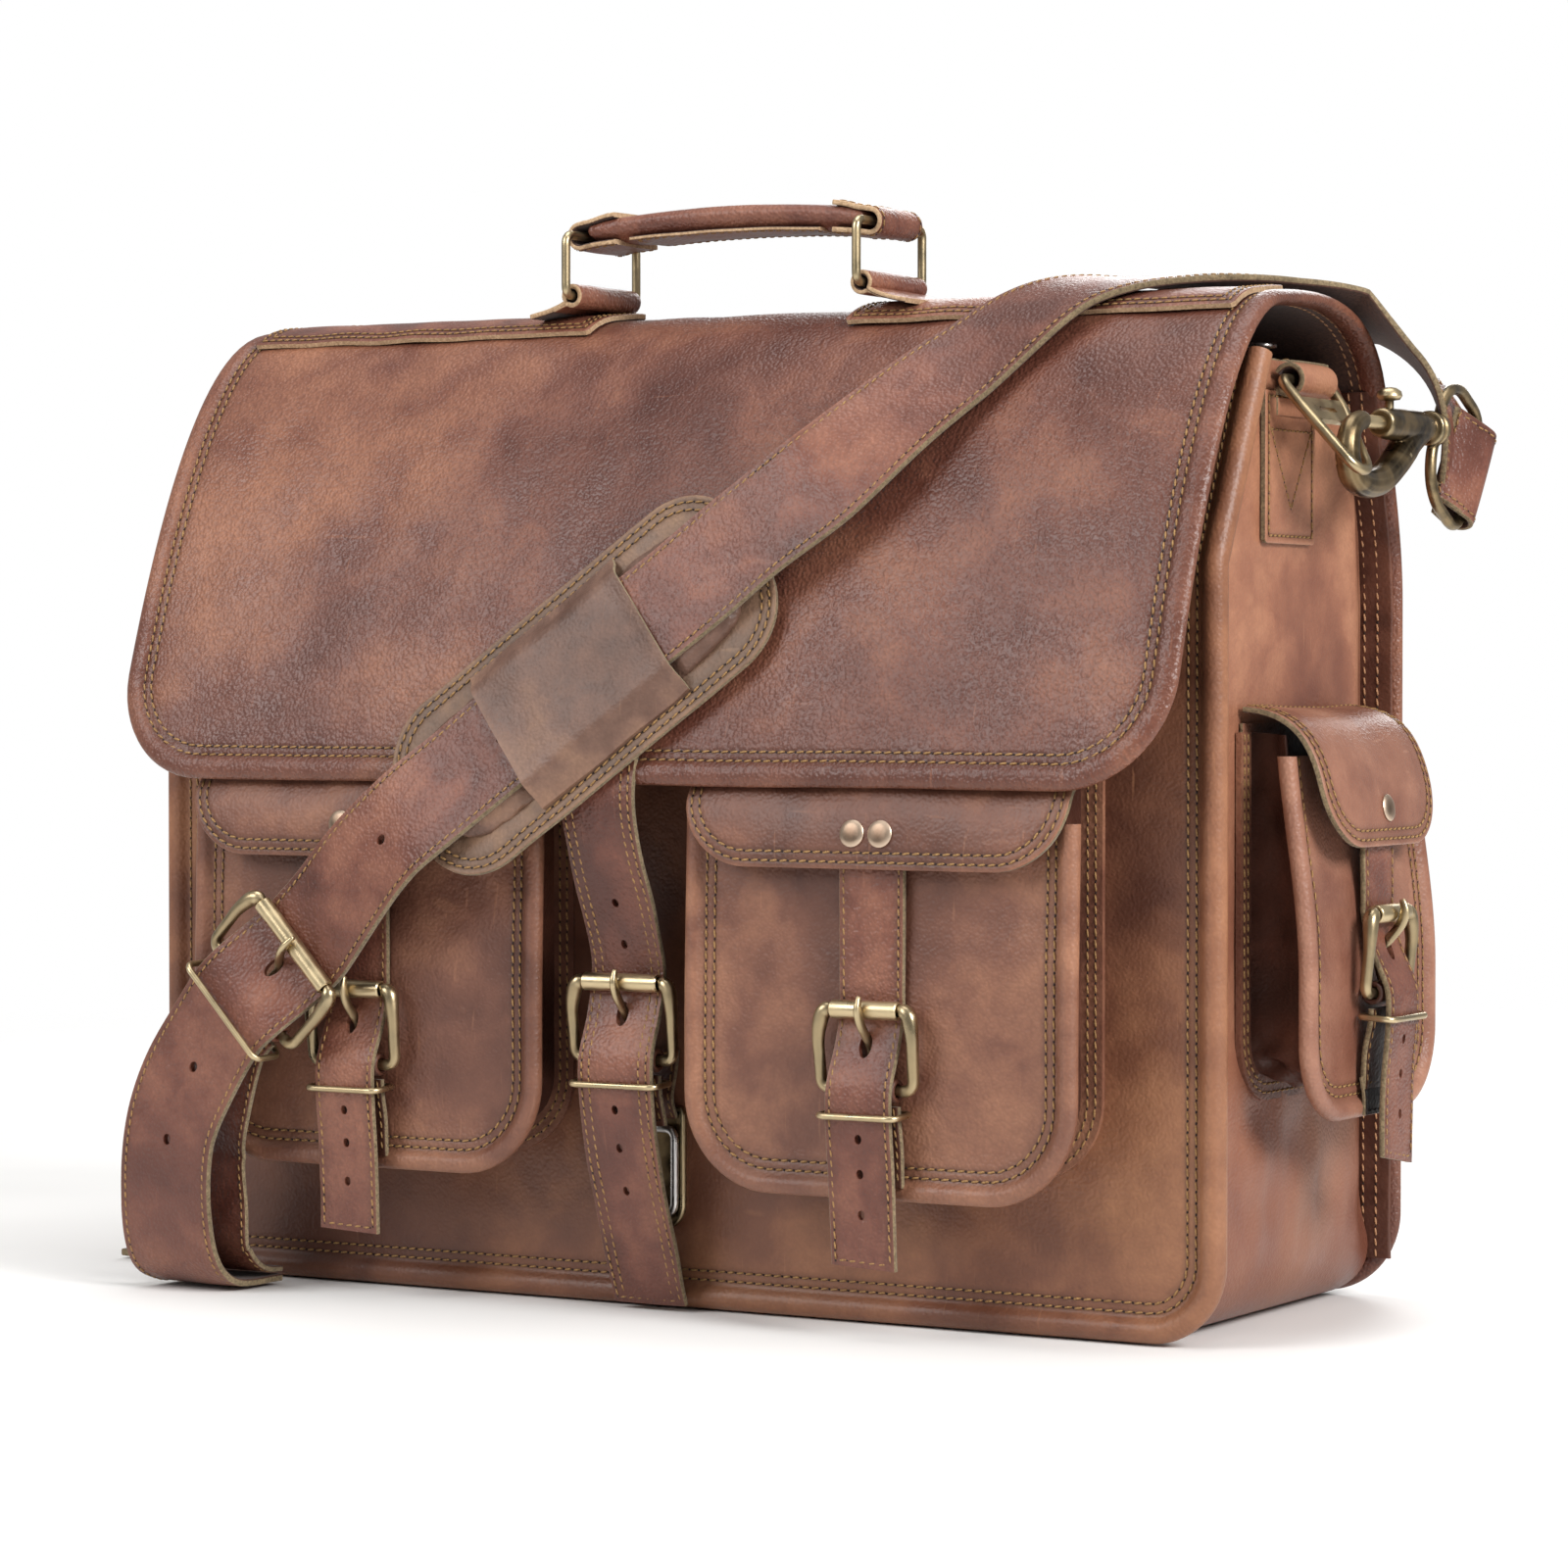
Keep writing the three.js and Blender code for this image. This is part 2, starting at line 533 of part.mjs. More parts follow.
function frontPocket(side, sign) {
  const name = namer('front', side);
  const group = new THREE.Group();
  group.position.set(sign * FRONT_POCKET.x, -BODY_HALF_DEPTH - GAP, 0);
  bag.add(group);
  const depth = -FRONT_POCKET.face - BODY_HALF_DEPTH - GAP;
  const { hingeY, hingeZ, drop } = FRONT_FLAP;
  const outer = new THREE.CubicBezierCurve(v2(hingeY + BODY_HALF_DEPTH, hingeZ),
    v2(-depth + 4, hingeZ - 2.5), v2(-depth - 6, hingeZ - 5), v2(-depth - 7, drop));
  const buckle = pocketSet(name, group, FRONT_POCKET, FRONT_FLAP,
    { outer, depth, rollerZ: 112, strapTop: 171, tail: [[9, -56], [7.5, -87]] });
  piece(name('buckle'), buckleFrame(POCKET_STRAP_HALF), brass(), buckle);
  piece(name('roller'), roller(POCKET_STRAP_HALF), brass(), buckle);
}

// A side pocket is built facing -Y and turned about Z to face outwards. The frame and the
// roller of its buckle are one piece.
function sidePocket(side, sign) {
  const name = namer('side', side);
  const group = new THREE.Group();
  group.position.set(sign * (BODY_HALF_WIDTH + GAP), SIDE_POCKET.y, 0);
  group.rotation.z = sign * Math.PI / 2;
  bag.add(group);
  const depth = SIDE_POCKET.face - BODY_HALF_WIDTH - GAP;
  const { hingeZ, drop } = SIDE_FLAP;
  const outer = new THREE.CubicBezierCurve(v2(-0.4, hingeZ),
    v2(-depth + 8, hingeZ - 1), v2(-depth - 4, hingeZ - 8), v2(-depth - 7, drop));
  const buckle = pocketSet(name, group, SIDE_POCKET, SIDE_FLAP,
    { outer, depth, rollerZ: 143, strapTop: 176, tail: [[9.5, -56], [9, -85]] });
  const frameAndRoller = union(buckleFrame(POCKET_STRAP_HALF),
    rollerSleeve(POCKET_STRAP_HALF, 0.5, 0.5));
  piece(name('buckle'), frameAndRoller, brass(), buckle);
}

for (const [side, sign] of [['right', 1], ['left', -1]]) {
  frontPocket(side, sign);
  sidePocket(side, sign);
}

// ---- centre closure ------------------------------------------------------------------------

// The strap sewn under the edge of the main flap, and its buckle.
function centreClosure() {
  const group = new THREE.Group();
  group.position.set(0, CENTRE.face, CENTRE.rollerZ);
  bag.add(group);
  const toLocal = (stop) => ({ p: stop.p.clone().sub(group.position), n: stop.n });
  const onTheFlap = [34, 22, 10, 1].map((s) => toLocal(onFlap(0, s, 1.3)));
  const path = [...onTheFlap,
    ...towardsFront([[21.4, 62], [16.5, 44], [7, 22], ...THROUGH_BUCKLE]),
    ...towardsFront([[6, -62], [-2, -86], [-9, -106], [-12.5, -114.6]])];
  piece('center_strap', cut(ribbon(path, CENTRE.strapHalf, STRAP_THICK, 40), tongueHole()),
    leather(STRAP_BROWN), group);
  piece('center_buckle', buckleFrame(CENTRE.strapHalf), brass(), group);
  piece('center_roller', roller(CENTRE.strapHalf), brass(), group);
  piece('center_keeper', keeper(CENTRE.strapHalf), brass(), group);
  piece('center_chape', chape(CENTRE.strapHalf - 0.5, [[3, -42], [0, -50]]),
    leather(DARK_BROWN), group);
}

// The half of the quick-release clip that stays on the front panel.
function clipSocket() {
  const y = -BODY_HALF_DEPTH - GAP;
  const low = 28;
  const tab = box(-11, 11, y - 2.2, y, low, low + 44);
  const socket = box(-9, 9, y - 7, y - 1, low + 4, low + 34);
  return union(tab, socket);
}

centreClosure();
piece('clip_socket', clipSocket(), brass());

// ---- rings and snap hooks ------------------------------------------------------------------

const RING = { y: -5, half: 21, slotHalf: 17.5, thick: 2.6 };

// The tab that is sewn to the gusset and rolls over the top bar of the ring.
function ringTab() {
  const plate = box(BODY_HALF_WIDTH + GAP, BODY_HALF_WIDTH + 2.6,
    RING.y - 22, RING.y + 22, RING_AXIS.z - 56, RING_AXIS.z + 2);
  const loop = sleeveAlongY(3.9, 6.1, RING.y - 13, RING.y + 17)
    .translate(RING_AXIS.x, 0, RING_AXIS.z);
  return union(plate, loop);
}

// A flat triangular ring, drawn hanging straight down and tilted outwards about its top bar.
function triangleRing() {
  const { y, half, slotHalf, thick } = RING;
  const outline = new THREE.Shape([v2(y - half, 2.5), v2(y - half, -9),
    v2(y - 15, -42.4), v2(y - 3, -42.4), v2(y + half, -9), v2(y + half, 2.5)]);
  const slot = new THREE.Path([v2(y - slotHalf, -2.7), v2(y + slotHalf, -2.7),
    v2(y + slotHalf, -8), v2(y - slotHalf, -8)]);
  const eye = new THREE.Path([v2(y - 15.5, -20), v2(y + 3, -20), v2(y - 4.4, -39.6),
    v2(y - 13.4, -39.6)]);
  outline.holes.push(slot, eye);
  const plate = alongX(outline, -thick / 2, thick / 2);
  plate.applyMatrix4(new THREE.Matrix4().makeRotationY(-RING_TILT));
  return plate.translate(RING_AXIS.x, 0, RING_AXIS.z);
}

const BOLT = { radius: 2.4, endY: 36, knobY: 22, knobRadius: 4, stemRadius: 1.2 };
const SWIVEL_LOOP = { halfWidth: 17, halfLength: 23.5, wire: 2.1 };

// The hook's body: a barrel for the bolt, a curled nose, a swivel and a loop for the strap.
function snapHook(loopTilt) {
  const { x, z, throatY, nose, barrelFront, barrelBack, swivelY } = HOOK;
  const low = -2 * nose;
  const curl = [v3(0, 49, -3), v3(0, 40, -9), v3(0, 26, -18), v3(0, 12, low), v3(0, throatY, low)];
  for (const turn of [0.25, 0.5, 0.75, 1]) {
    const angle = turn * Math.PI;
    curl.push(v3(0, throatY - nose * Math.sin(angle), low + nose * (1 - Math.cos(angle))));
  }
  const bore = sleeveAlongY(0, BOLT.radius + 0.5, barrelFront - 9, barrelBack - 4);
  const knobSlot = box(-BOLT.stemRadius - 0.4, BOLT.stemRadius + 0.4,
    barrelFront + 5, barrelBack - 12, 1, 9);
  const body = cut(
    union(sleeveAlongY(0, 5.6, barrelFront, barrelBack), rod(curl, 3, 18)), bore, knobSlot);
  const loop = wireLoop(SWIVEL_LOOP.halfWidth, SWIVEL_LOOP.halfLength, 4, SWIVEL_LOOP.wire,
    (a, b) => v3(0, a, b), 26);
  loop.translate(0, SWIVEL_LOOP.halfWidth, 0).rotateX(loopTilt).translate(0, swivelY, 0);
  const neck = sleeveAlongY(0, 4, barrelBack - 2, swivelY + 1);
  const collar = sleeveAlongY(0, 6.4, swivelY - 7, swivelY - 1);
  return union(body, neck, collar, loop).translate(x, 0, z);
}

function hookBolt() {
  const { radius, endY, knobY, knobRadius, stemRadius } = BOLT;
  return union(
    sleeveAlongY(0, radius, HOOK.throatY + 1.2, endY),
    sleeve(0, stemRadius, 0, 8).translate(0, knobY, 0),
    sleeve(0, knobRadius, 7.4, 11).translate(0, knobY, 0)).translate(HOOK.x, 0, HOOK.z);
}

const LOOP_TILT = { right: THREE.MathUtils.degToRad(-28), left: THREE.MathUtils.degToRad(-52) };
const keep = (geometry) => geometry;
for (const [side, place] of [['right', keep], ['left', mirroredX]]) {
  piece(`ring_tab_${side}`, place(ringTab()), leather(STRAP_BROWN));
  piece(`triangle_ring_${side}`, place(triangleRing()), brass());
  piece(`snap_hook_${side}`, place(snapHook(LOOP_TILT[side])), brass());
  piece(`hook_bolt_${side}`, place(hookBolt()), brass());
}

// ---- shoulder strap ------------------------------------------------------------------------

// The pad and the strap through it lie in the plane that touches the flap behind the pad.
const padOrigin = onFlap(PAD_POSE.x, PAD_POSE.s, 0);
const padAlong = v3(Math.cos(PAD_POSE.angle), 0, 0)
  .addScaledVector(padOrigin.up, Math.sin(PAD_POSE.angle));
// Heights of the pad's faces above that plane; the cover makes a tunnel for the strap.
const PAD = {
  halfLength: 80, halfWidth: 37, corner: 26, under: 2.8, base: 8.4,
  tunnelLow: 8.8, tunnelHigh: 12.2, top: 13.8, coverHalf: 34, coverSeam: 12,
};
const inPad = (along, height) => ({
  p: padOrigin.p.clone().addScaledVector(padAlong, along).addScaledVector(padOrigin.n, height),
  n: padOrigin.n,
});

function shoulderPad() {
  const outline = pocketOutline(PAD.halfWidth, -PAD.halfLength, PAD.halfLength, PAD.corner);
  const rounded = alongY(outline, -PAD.base, -PAD.under);
  const tunnelHalf = LONG_STRAP.halfWidth + 1;
  const coverSide = tunnelHalf + PAD.coverSeam;
  const cover = box(-coverSide, coverSide, -PAD.top, -PAD.under - 1, -PAD.coverHalf, PAD.coverHalf);
  const tunnel = box(-tunnelHalf, tunnelHalf, -PAD.tunnelHigh, -PAD.tunnelLow, -BEYOND, BEYOND);
  const pad = cut(union(rounded, cover), tunnel);
  const frame = new THREE.Matrix4().makeBasis(
    padAlong.clone().cross(padOrigin.n), padOrigin.n.clone().negate(), padAlong);
  return pad.applyMatrix4(frame).translate(padOrigin.p.x, padOrigin.p.y, padOrigin.p.z);
}

const SHOULDER = new THREE.Group();
SHOULDER.position.set(SHOULDER_BUCKLE.x, SHOULDER_BUCKLE.y, SHOULDER_BUCKLE.z);
SHOULDER.rotation.y = SHOULDER_BUCKLE.turn;
SHOULDER.updateMatrix();
bag.add(SHOULDER);
const toShoulder = SHOULDER.matrix.clone().invert();
const localStop = ({ p, n }) =>
  ({ p: p.clone().applyMatrix4(toShoulder), n: n.clone().transformDirection(toShoulder) });
const front = v3(0, -1, 0);

// From the flap's right edge over the top, down through the pad and the buckle, to its tip.
function longStrap() {
  const middle = (PAD.tunnelLow + PAD.tunnelHigh) / 2;
  const over = [[212, 277, 6], [190, 256, 6], [165, 224, 6], [140, 190, 5.6], [112, 152, 5]]
    .map(([x, s, offset]) => onFlap(x, s, offset));
  const pad = [114, 60, 0, -50, -86].map((along) => inPad(along, middle));
  const tail = [
    { p: v3(-172, -138, 62), n: front },
    { p: v3(-177, -136, 32), n: front },
    { p: v3(-176, -131, 11), n: v3(0, -0.9, -0.4) },
    { p: v3(-175, -121, 3.6), n: v3(0, -0.2, -1) },
    { p: v3(-174, -96, 2.4), n: v3(0, 0, -1) }].map(localStop);
  const stops = [...[...over, ...pad].map(localStop), ...towardsFront(THROUGH_BUCKLE), ...tail];
  return cut(ribbon(stops, LONG_STRAP.halfWidth, LONG_STRAP.thick, 46), tongueHole());
}

// The flap side of the short strap: it loops around the buckle's back bar.
function shoulderChape() {
  return chape(LONG_STRAP.halfWidth - 0.5, [[3, -46], [1.5, -60]]);
}

piece('shoulder_pad', shoulderPad(), leather(DARK_BROWN));
piece('shoulder_strap_long', longStrap(), leather(STRAP_BROWN), SHOULDER);
piece('shoulder_buckle', buckleFrame(LONG_STRAP.halfWidth), brass(), SHOULDER);
piece('shoulder_roller', roller(LONG_STRAP.halfWidth), brass(), SHOULDER);
piece('shoulder_keeper', keeper(LONG_STRAP.halfWidth, 15.2), brass(), SHOULDER);
piece('shoulder_chape', shoulderChape(), leather(STRAP_BROWN), SHOULDER);

// Where the far bar of a snap hook's loop is, and the direction away from the hook.
function loopBar(side) {
  const tilt = LOOP_TILT[side];
  const away = v3(0, Math.cos(tilt), Math.sin(tilt));
  const sign = side === 'right' ? 1 : -1;
  const swivel = v3(sign * HOOK.x, HOOK.swivelY, HOOK.z);
  return { p: swivel.addScaledVector(away, 2 * SWIVEL_LOOP.halfWidth), tilt };
}

// The end of a strap, folded around the bar of its snap hook's loop.
function foldedEnd(side) {
  const { p, tilt } = loopBar(side);
  const half = LONG_STRAP.halfWidth - 1.5;
  const inner = SWIVEL_LOOP.wire + 0.4;
  return sleeve(inner, inner + LONG_STRAP.thick, -half, half)
    .rotateX(tilt).translate(p.x, p.y, p.z);
}

// Right: from the hook up to the flap's edge, where the long strap takes over.
const STRAP_PARTING_X = FLAP_HALF_WIDTH + 3;

function strapEndRight() {
  const bar = loopBar('right').p;
  const stops = [
    { p: v3(bar.x - 3.8, bar.y, bar.z), n: AXIS.x },
    { p: v3(bar.x - 7, bar.y - 14, bar.z + 9), n: AXIS.x },
    { p: v3(bar.x - 9.4, bar.y - 30, bar.z + 28), n: AXIS.x },
    { p: v3(STRAP_PARTING_X + 4.5, 55, 345), n: v3(0.7, 0, 0.7) }];
  const strap = union(foldedEnd('right'), ribbon(stops, LONG_STRAP.halfWidth, LONG_STRAP.thick));
  return cut(strap, box(0, STRAP_PARTING_X, 0, BEYOND, HINGE.z, HINGE.z + BEYOND));
}

// Left: from the hook down behind the side pocket, along the floor and round the corner.
function strapShort() {
  const bar = loopBar('left').p;
  const outside = v3(-1, 0, 0);
  const under = v3(0, 0, -1);
  const stops = [
    { p: v3(bar.x - 3.8, bar.y, bar.z), n: outside },
    { p: v3(bar.x - 3, bar.y + 9, bar.z - 16), n: outside },
    { p: v3(-235, 100, 200), n: outside },
    { p: v3(-235, 98, 80), n: outside },
    { p: v3(-240, 92, 30), n: v3(-0.8, 0, -0.6) },
    { p: v3(-246, 62, 9), n: v3(-0.2, 0, -1) },
    { p: v3(-247, 0, 3), n: under },
    { p: v3(-246, -60, 3), n: under },
    { p: v3(-240, -96, 5), n: under },
    { p: v3(-228, -112, 12), n: under }];
  return union(foldedEnd('left'), ribbon(stops, LONG_STRAP.halfWidth, LONG_STRAP.thick, 34));
}

piece('shoulder_strap_end', strapEndRight(), leather(STRAP_BROWN));
piece('shoulder_strap_short', strapShort(), leather(STRAP_BROWN));

export default bag;
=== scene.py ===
"""The looks of a brown leather satchel bag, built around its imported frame.

Shapes are worked out in millimetres and turned into metres when a mesh is made.
+X is to the right of the bag's front, -Y is out of its front and +Z is up.
"""
import json
import math

import bmesh
import bpy
import numpy as np
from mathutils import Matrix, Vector


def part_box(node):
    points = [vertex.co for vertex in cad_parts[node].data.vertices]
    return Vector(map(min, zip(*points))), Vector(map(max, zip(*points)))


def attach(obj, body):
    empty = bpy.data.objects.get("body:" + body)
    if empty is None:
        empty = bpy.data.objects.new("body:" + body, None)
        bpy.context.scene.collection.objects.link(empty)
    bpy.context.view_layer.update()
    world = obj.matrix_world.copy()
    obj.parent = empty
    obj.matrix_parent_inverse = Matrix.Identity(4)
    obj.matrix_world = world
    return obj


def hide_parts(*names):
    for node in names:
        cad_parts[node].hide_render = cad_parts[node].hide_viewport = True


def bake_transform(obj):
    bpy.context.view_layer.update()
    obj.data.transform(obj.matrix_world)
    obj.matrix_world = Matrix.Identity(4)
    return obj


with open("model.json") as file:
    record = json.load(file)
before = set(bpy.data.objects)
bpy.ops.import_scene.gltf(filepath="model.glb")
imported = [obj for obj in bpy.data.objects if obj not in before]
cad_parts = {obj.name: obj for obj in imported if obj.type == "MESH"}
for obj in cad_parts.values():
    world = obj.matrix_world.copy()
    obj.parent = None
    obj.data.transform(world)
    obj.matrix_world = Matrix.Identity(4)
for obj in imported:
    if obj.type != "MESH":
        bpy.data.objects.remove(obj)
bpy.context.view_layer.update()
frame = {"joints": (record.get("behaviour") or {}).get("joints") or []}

MM = 0.001
JOINTS = {joint["name"]: joint for joint in frame["joints"]}
RIGHT_AND_LEFT = (("right", 1), ("left", -1))

LEATHER = 3.0            # thickness of the body leather
POCKET_LEATHER = 2.6
POCKET_FLAP_LEATHER = 2.4
BELT = 2.0
STITCH_PITCH = 3.8
STRAP_PITCH = 3.4
THREAD = 0.42            # half width of a stitch
STITCH_SINK = 0.1
SHARP = 48               # degrees between faces that leave a visible edge

ROLLER_OUT = 6.6         # roller axis in front of the surface behind it
ROLLER_RADIUS = 3.2
BACK_BAR = (5.0, -27.0)  # a buckle's back bar: out, up
KEEPER_UP = -35.0
THROUGH_BUCKLE = ((1.8, 7), (1.8, 0), (5, -12), (10.8, -26), (11, -37))
TONGUE_SLOT = np.array((6.5, 15.5))   # run along the strap below the roller


# ---- frame values ---------------------------------------------------------------------------

def node_box(node):
    """Lowest and highest corner of a CAD node, in millimetres."""
    low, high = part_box(node)
    return np.array(low) / MM, np.array(high) / MM


def pivot(joint):
    return np.array(JOINTS[joint]["pos_m"]) / MM


def vec(*values):
    return np.array(values, float)


X_AXIS, Y_AXIS, Z_AXIS = np.eye(3)


def unit(vectors):
    vectors = np.asarray(vectors, float)
    return vectors / np.maximum(np.linalg.norm(vectors, axis=-1, keepdims=True), 1e-9)


class Place:
    """A local frame: across, out of the bag and up, from an origin on the bag's surface."""

    def __init__(self, origin, across, out):
        self.origin = np.asarray(origin, float)
        self.across = unit(across)
        self.out = unit(out)
        self.up = np.cross(self.across, -self.out)

    def at(self, across, out, up):
        across, out, up = (np.asarray(value, float)[..., None] for value in (across, out, up))
        return self.origin + across * self.across + out * self.out + up * self.up

    def turn(self, across, out, up):
        return self.at(across, out, up) - self.origin

    def flat(self, across, out, up):
        """Places, with the frame's own outward direction at each."""
        places = self.at(across, out, up)
        return places, np.broadcast_to(self.out, places.shape)

    def ring(self, corners, radius):
        """A closed outline with rounded corners, from (across, out, up)."""
        return rounded([self.at(*corner) for corner in corners], radius)

    def stops(self, points):
        """Strap stops that face out, from (out, up)."""
        return [(self.at(0, out, up), self.out) for out, up in points]


# ---- curves ---------------------------------------------------------------------------------

def run_of(line):
    """Distance along a polyline at each of its points."""
    return np.r_[0, np.cumsum(np.linalg.norm(np.diff(line, axis=0), axis=1))]


def at_run(want, run, values):
    """Values that belong to points at run, read at other distances."""
    return np.stack([np.interp(want, run, column) for column in values.T], -1)


def directions(line):
    return unit(np.gradient(line, axis=0))


def circle(sides):
    """Cosine and sine at equal steps round a circle."""
    turn = np.arange(sides) * 2 * math.pi / sides
    return np.cos(turn), np.sin(turn)


def squared(values, power):
    """Cosines or sines pulled towards those of a rounded square."""
    return np.sign(values) * np.abs(values) ** power


def bezier(p0, p1, p2, p3, count=80):
    t = np.linspace(0, 1, count)[:, None]
    p0, p1, p2, p3 = (np.asarray(p, float) for p in (p0, p1, p2, p3))
    return (1 - t) ** 3 * p0 + 3 * (1 - t) ** 2 * t * p1 + 3 * (1 - t) * t ** 2 * p2 + t ** 3 * p3


def even(points, step, extra=None):
    """Points at equal steps along a polyline, with the values in extra carried along."""
    points = np.asarray(points, float)
    run = run_of(points)
    want = np.linspace(0, run[-1], max(2, int(round(run[-1] / step)) + 1))
    places = at_run(want, run, points)
    return places if extra is None else (places, at_run(want, run, np.asarray(extra, float)))


def smooth_through(points, extra=None, pieces=14):
    """Centripetal Catmull-Rom curve through points, with the values in extra blended along it."""
    points = np.asarray(points, float)
    extra = points if extra is None else np.asarray(extra, float)
    padded = np.vstack([2 * points[0] - points[1], points, 2 * points[-1] - points[-2]])
    share = np.linspace(0, 1, pieces, endpoint=False)[:, None]
    curve, carried = [], []
    for i in range(len(points) - 1):
        p = padded[i:i + 4]
        gaps = np.linalg.norm(np.diff(p, axis=0), axis=1)
        knots = np.r_[0, np.cumsum(np.sqrt(np.maximum(gaps, 1e-6)))]
        t = knots[1] + share * (knots[2] - knots[1])

        def mix(a, b, ta, tb):
            return (a * (tb - t) + b * (t - ta)) / (tb - ta)
        a1, a2, a3 = (mix(p[k], p[k + 1], knots[k], knots[k + 1]) for k in range(3))
        b1, b2 = mix(a1, a2, knots[0], knots[2]), mix(a2, a3, knots[1], knots[3])
        curve.append(mix(b1, b2, knots[1], knots[2]))
        carried.append(extra[i] * (1 - share) + extra[i + 1] * share)
    return np.vstack([*curve, points[-1:]]), np.vstack([*carried, extra[-1:]])


def rounded(points, radius, closed=True, pieces=6):
    """A polyline whose corners are rounded off."""
    points = [np.asarray(p, float) for p in points]
    result = []
    for i, corner in enumerate(points):
        if not closed and i in (0, len(points) - 1):
            result.append(corner[None])
            continue
        before, after = points[i - 1] - corner, points[(i + 1) % len(points)] - corner
        cut = min(radius, 0.48 * np.linalg.norm(before), 0.48 * np.linalg.norm(after))
        start, end = corner + unit(before) * cut, corner + unit(after) * cut
        pull = start + (corner - start) * 0.56, end + (corner - end) * 0.56
        result.append(bezier(start, *pull, end, pieces))
    return np.vstack(result)


def ripple(a, b, size, seed):
    """Smooth waves between about -1 and 1 over a surface, roughly size millimetres apart."""
    draw = np.random.default_rng(int(seed))
    total = np.zeros(np.broadcast(a, b).shape)
    for _ in range(6):
        angle, phase = draw.uniform(0, 2 * math.pi, 2)
        rate = 2 * math.pi / size * draw.uniform(0.6, 1.5)
        total = total + np.sin(rate * (a * math.cos(angle) + b * math.sin(angle)) + phase)
    return total / 3.0


def fade(value, start, end):
    """0 before start, 1 after end, smooth between."""
    t = np.clip((np.asarray(value, float) - start) / (end - start), 0, 1)
    return t * t * (3 - 2 * t)


# ---- materials ------------------------------------------------------------------------------

class Shader:
    """A node tree, built with short calls."""

    def __init__(self, name):
        self.material = bpy.data.materials.new(name)
        self.material.use_nodes = True
        self.tree = self.material.node_tree
        self.surface = self.tree.nodes["Principled BSDF"]
        self.place = self.add("ShaderNodeTexCoord").outputs["Object"]

    def add(self, kind, inputs=None, **settings):
        node = self.tree.nodes.new(kind)
        for key, value in settings.items():
            setattr(node, key, value)
        self.set(node, inputs or {})
        return node

    def set(self, node, inputs):
        for key, value in inputs.items():
            if isinstance(value, bpy.types.NodeSocket):
                self.tree.links.new(value, node.inputs[key])
            else:
                node.inputs[key].default_value = value

    def finish(self, **inputs):
        """Sets the surface's inputs, written with underscores for spaces."""
        self.set(self.surface, {key.replace("_", " "): value for key, value in inputs.items()})
        return self.material

    def noise(self, scale, detail=3.0, distortion=0.0, stretch=None):
        place = self.place
        if stretch:
            place = self.add("ShaderNodeMapping", {"Vector": place, "Scale": stretch}).outputs[0]
        inputs = {"Vector": place, "Scale": scale, "Detail": detail, "Distortion": distortion}
        return self.add("ShaderNodeTexNoise", inputs).outputs["Fac"]

    def cells(self, scale, feature="SMOOTH_F1"):
        inputs = {"Vector": self.place, "Scale": scale}
        return self.add("ShaderNodeTexVoronoi", inputs, feature=feature).outputs["Distance"]

    def spread(self, value, low, high, to_low=0.0, to_high=1.0):
        inputs = {"Value": value, "From Min": low, "From Max": high, "To Min": to_low, "To Max": to_high}
        return self.add("ShaderNodeMapRange", inputs).outputs[0]

    def math(self, operation, a, b):
        return self.add("ShaderNodeMath", {0: a, 1: b}, operation=operation).outputs[0]

    def times(self, a, b):
        return self.math("MULTIPLY", a, b)

    def mix(self, share, a, b):
        return self.add("ShaderNodeMix", {0: share, 6: a, 7: b}, data_type="RGBA").outputs[2]

    def attribute(self, name):
        return self.add("ShaderNodeAttribute", attribute_name=name).outputs["Fac"]

    def bump(self, height, strength, distance, over=None):
        inputs = {"Height": height, "Strength": strength, "Distance": distance}
        if over is not None:
            inputs["Normal"] = over
        return self.add("ShaderNodeBump", inputs).outputs[0]


def linear(*colours):
    """Linear colours from display values between 0 and 255."""
    return [tuple(((value / 255 + 0.055) / 1.055) ** 2.4 for value in colour) + (1.0,) for colour in colours]


# The first colour is painted shade for the leather along stitch rows and the gusset's back seam.
SEAM_SHADE_COLOUR, FLOOR_DARK, FLOOR_LIGHT = linear((52, 30, 21), (238, 237, 235), (244, 243, 241))


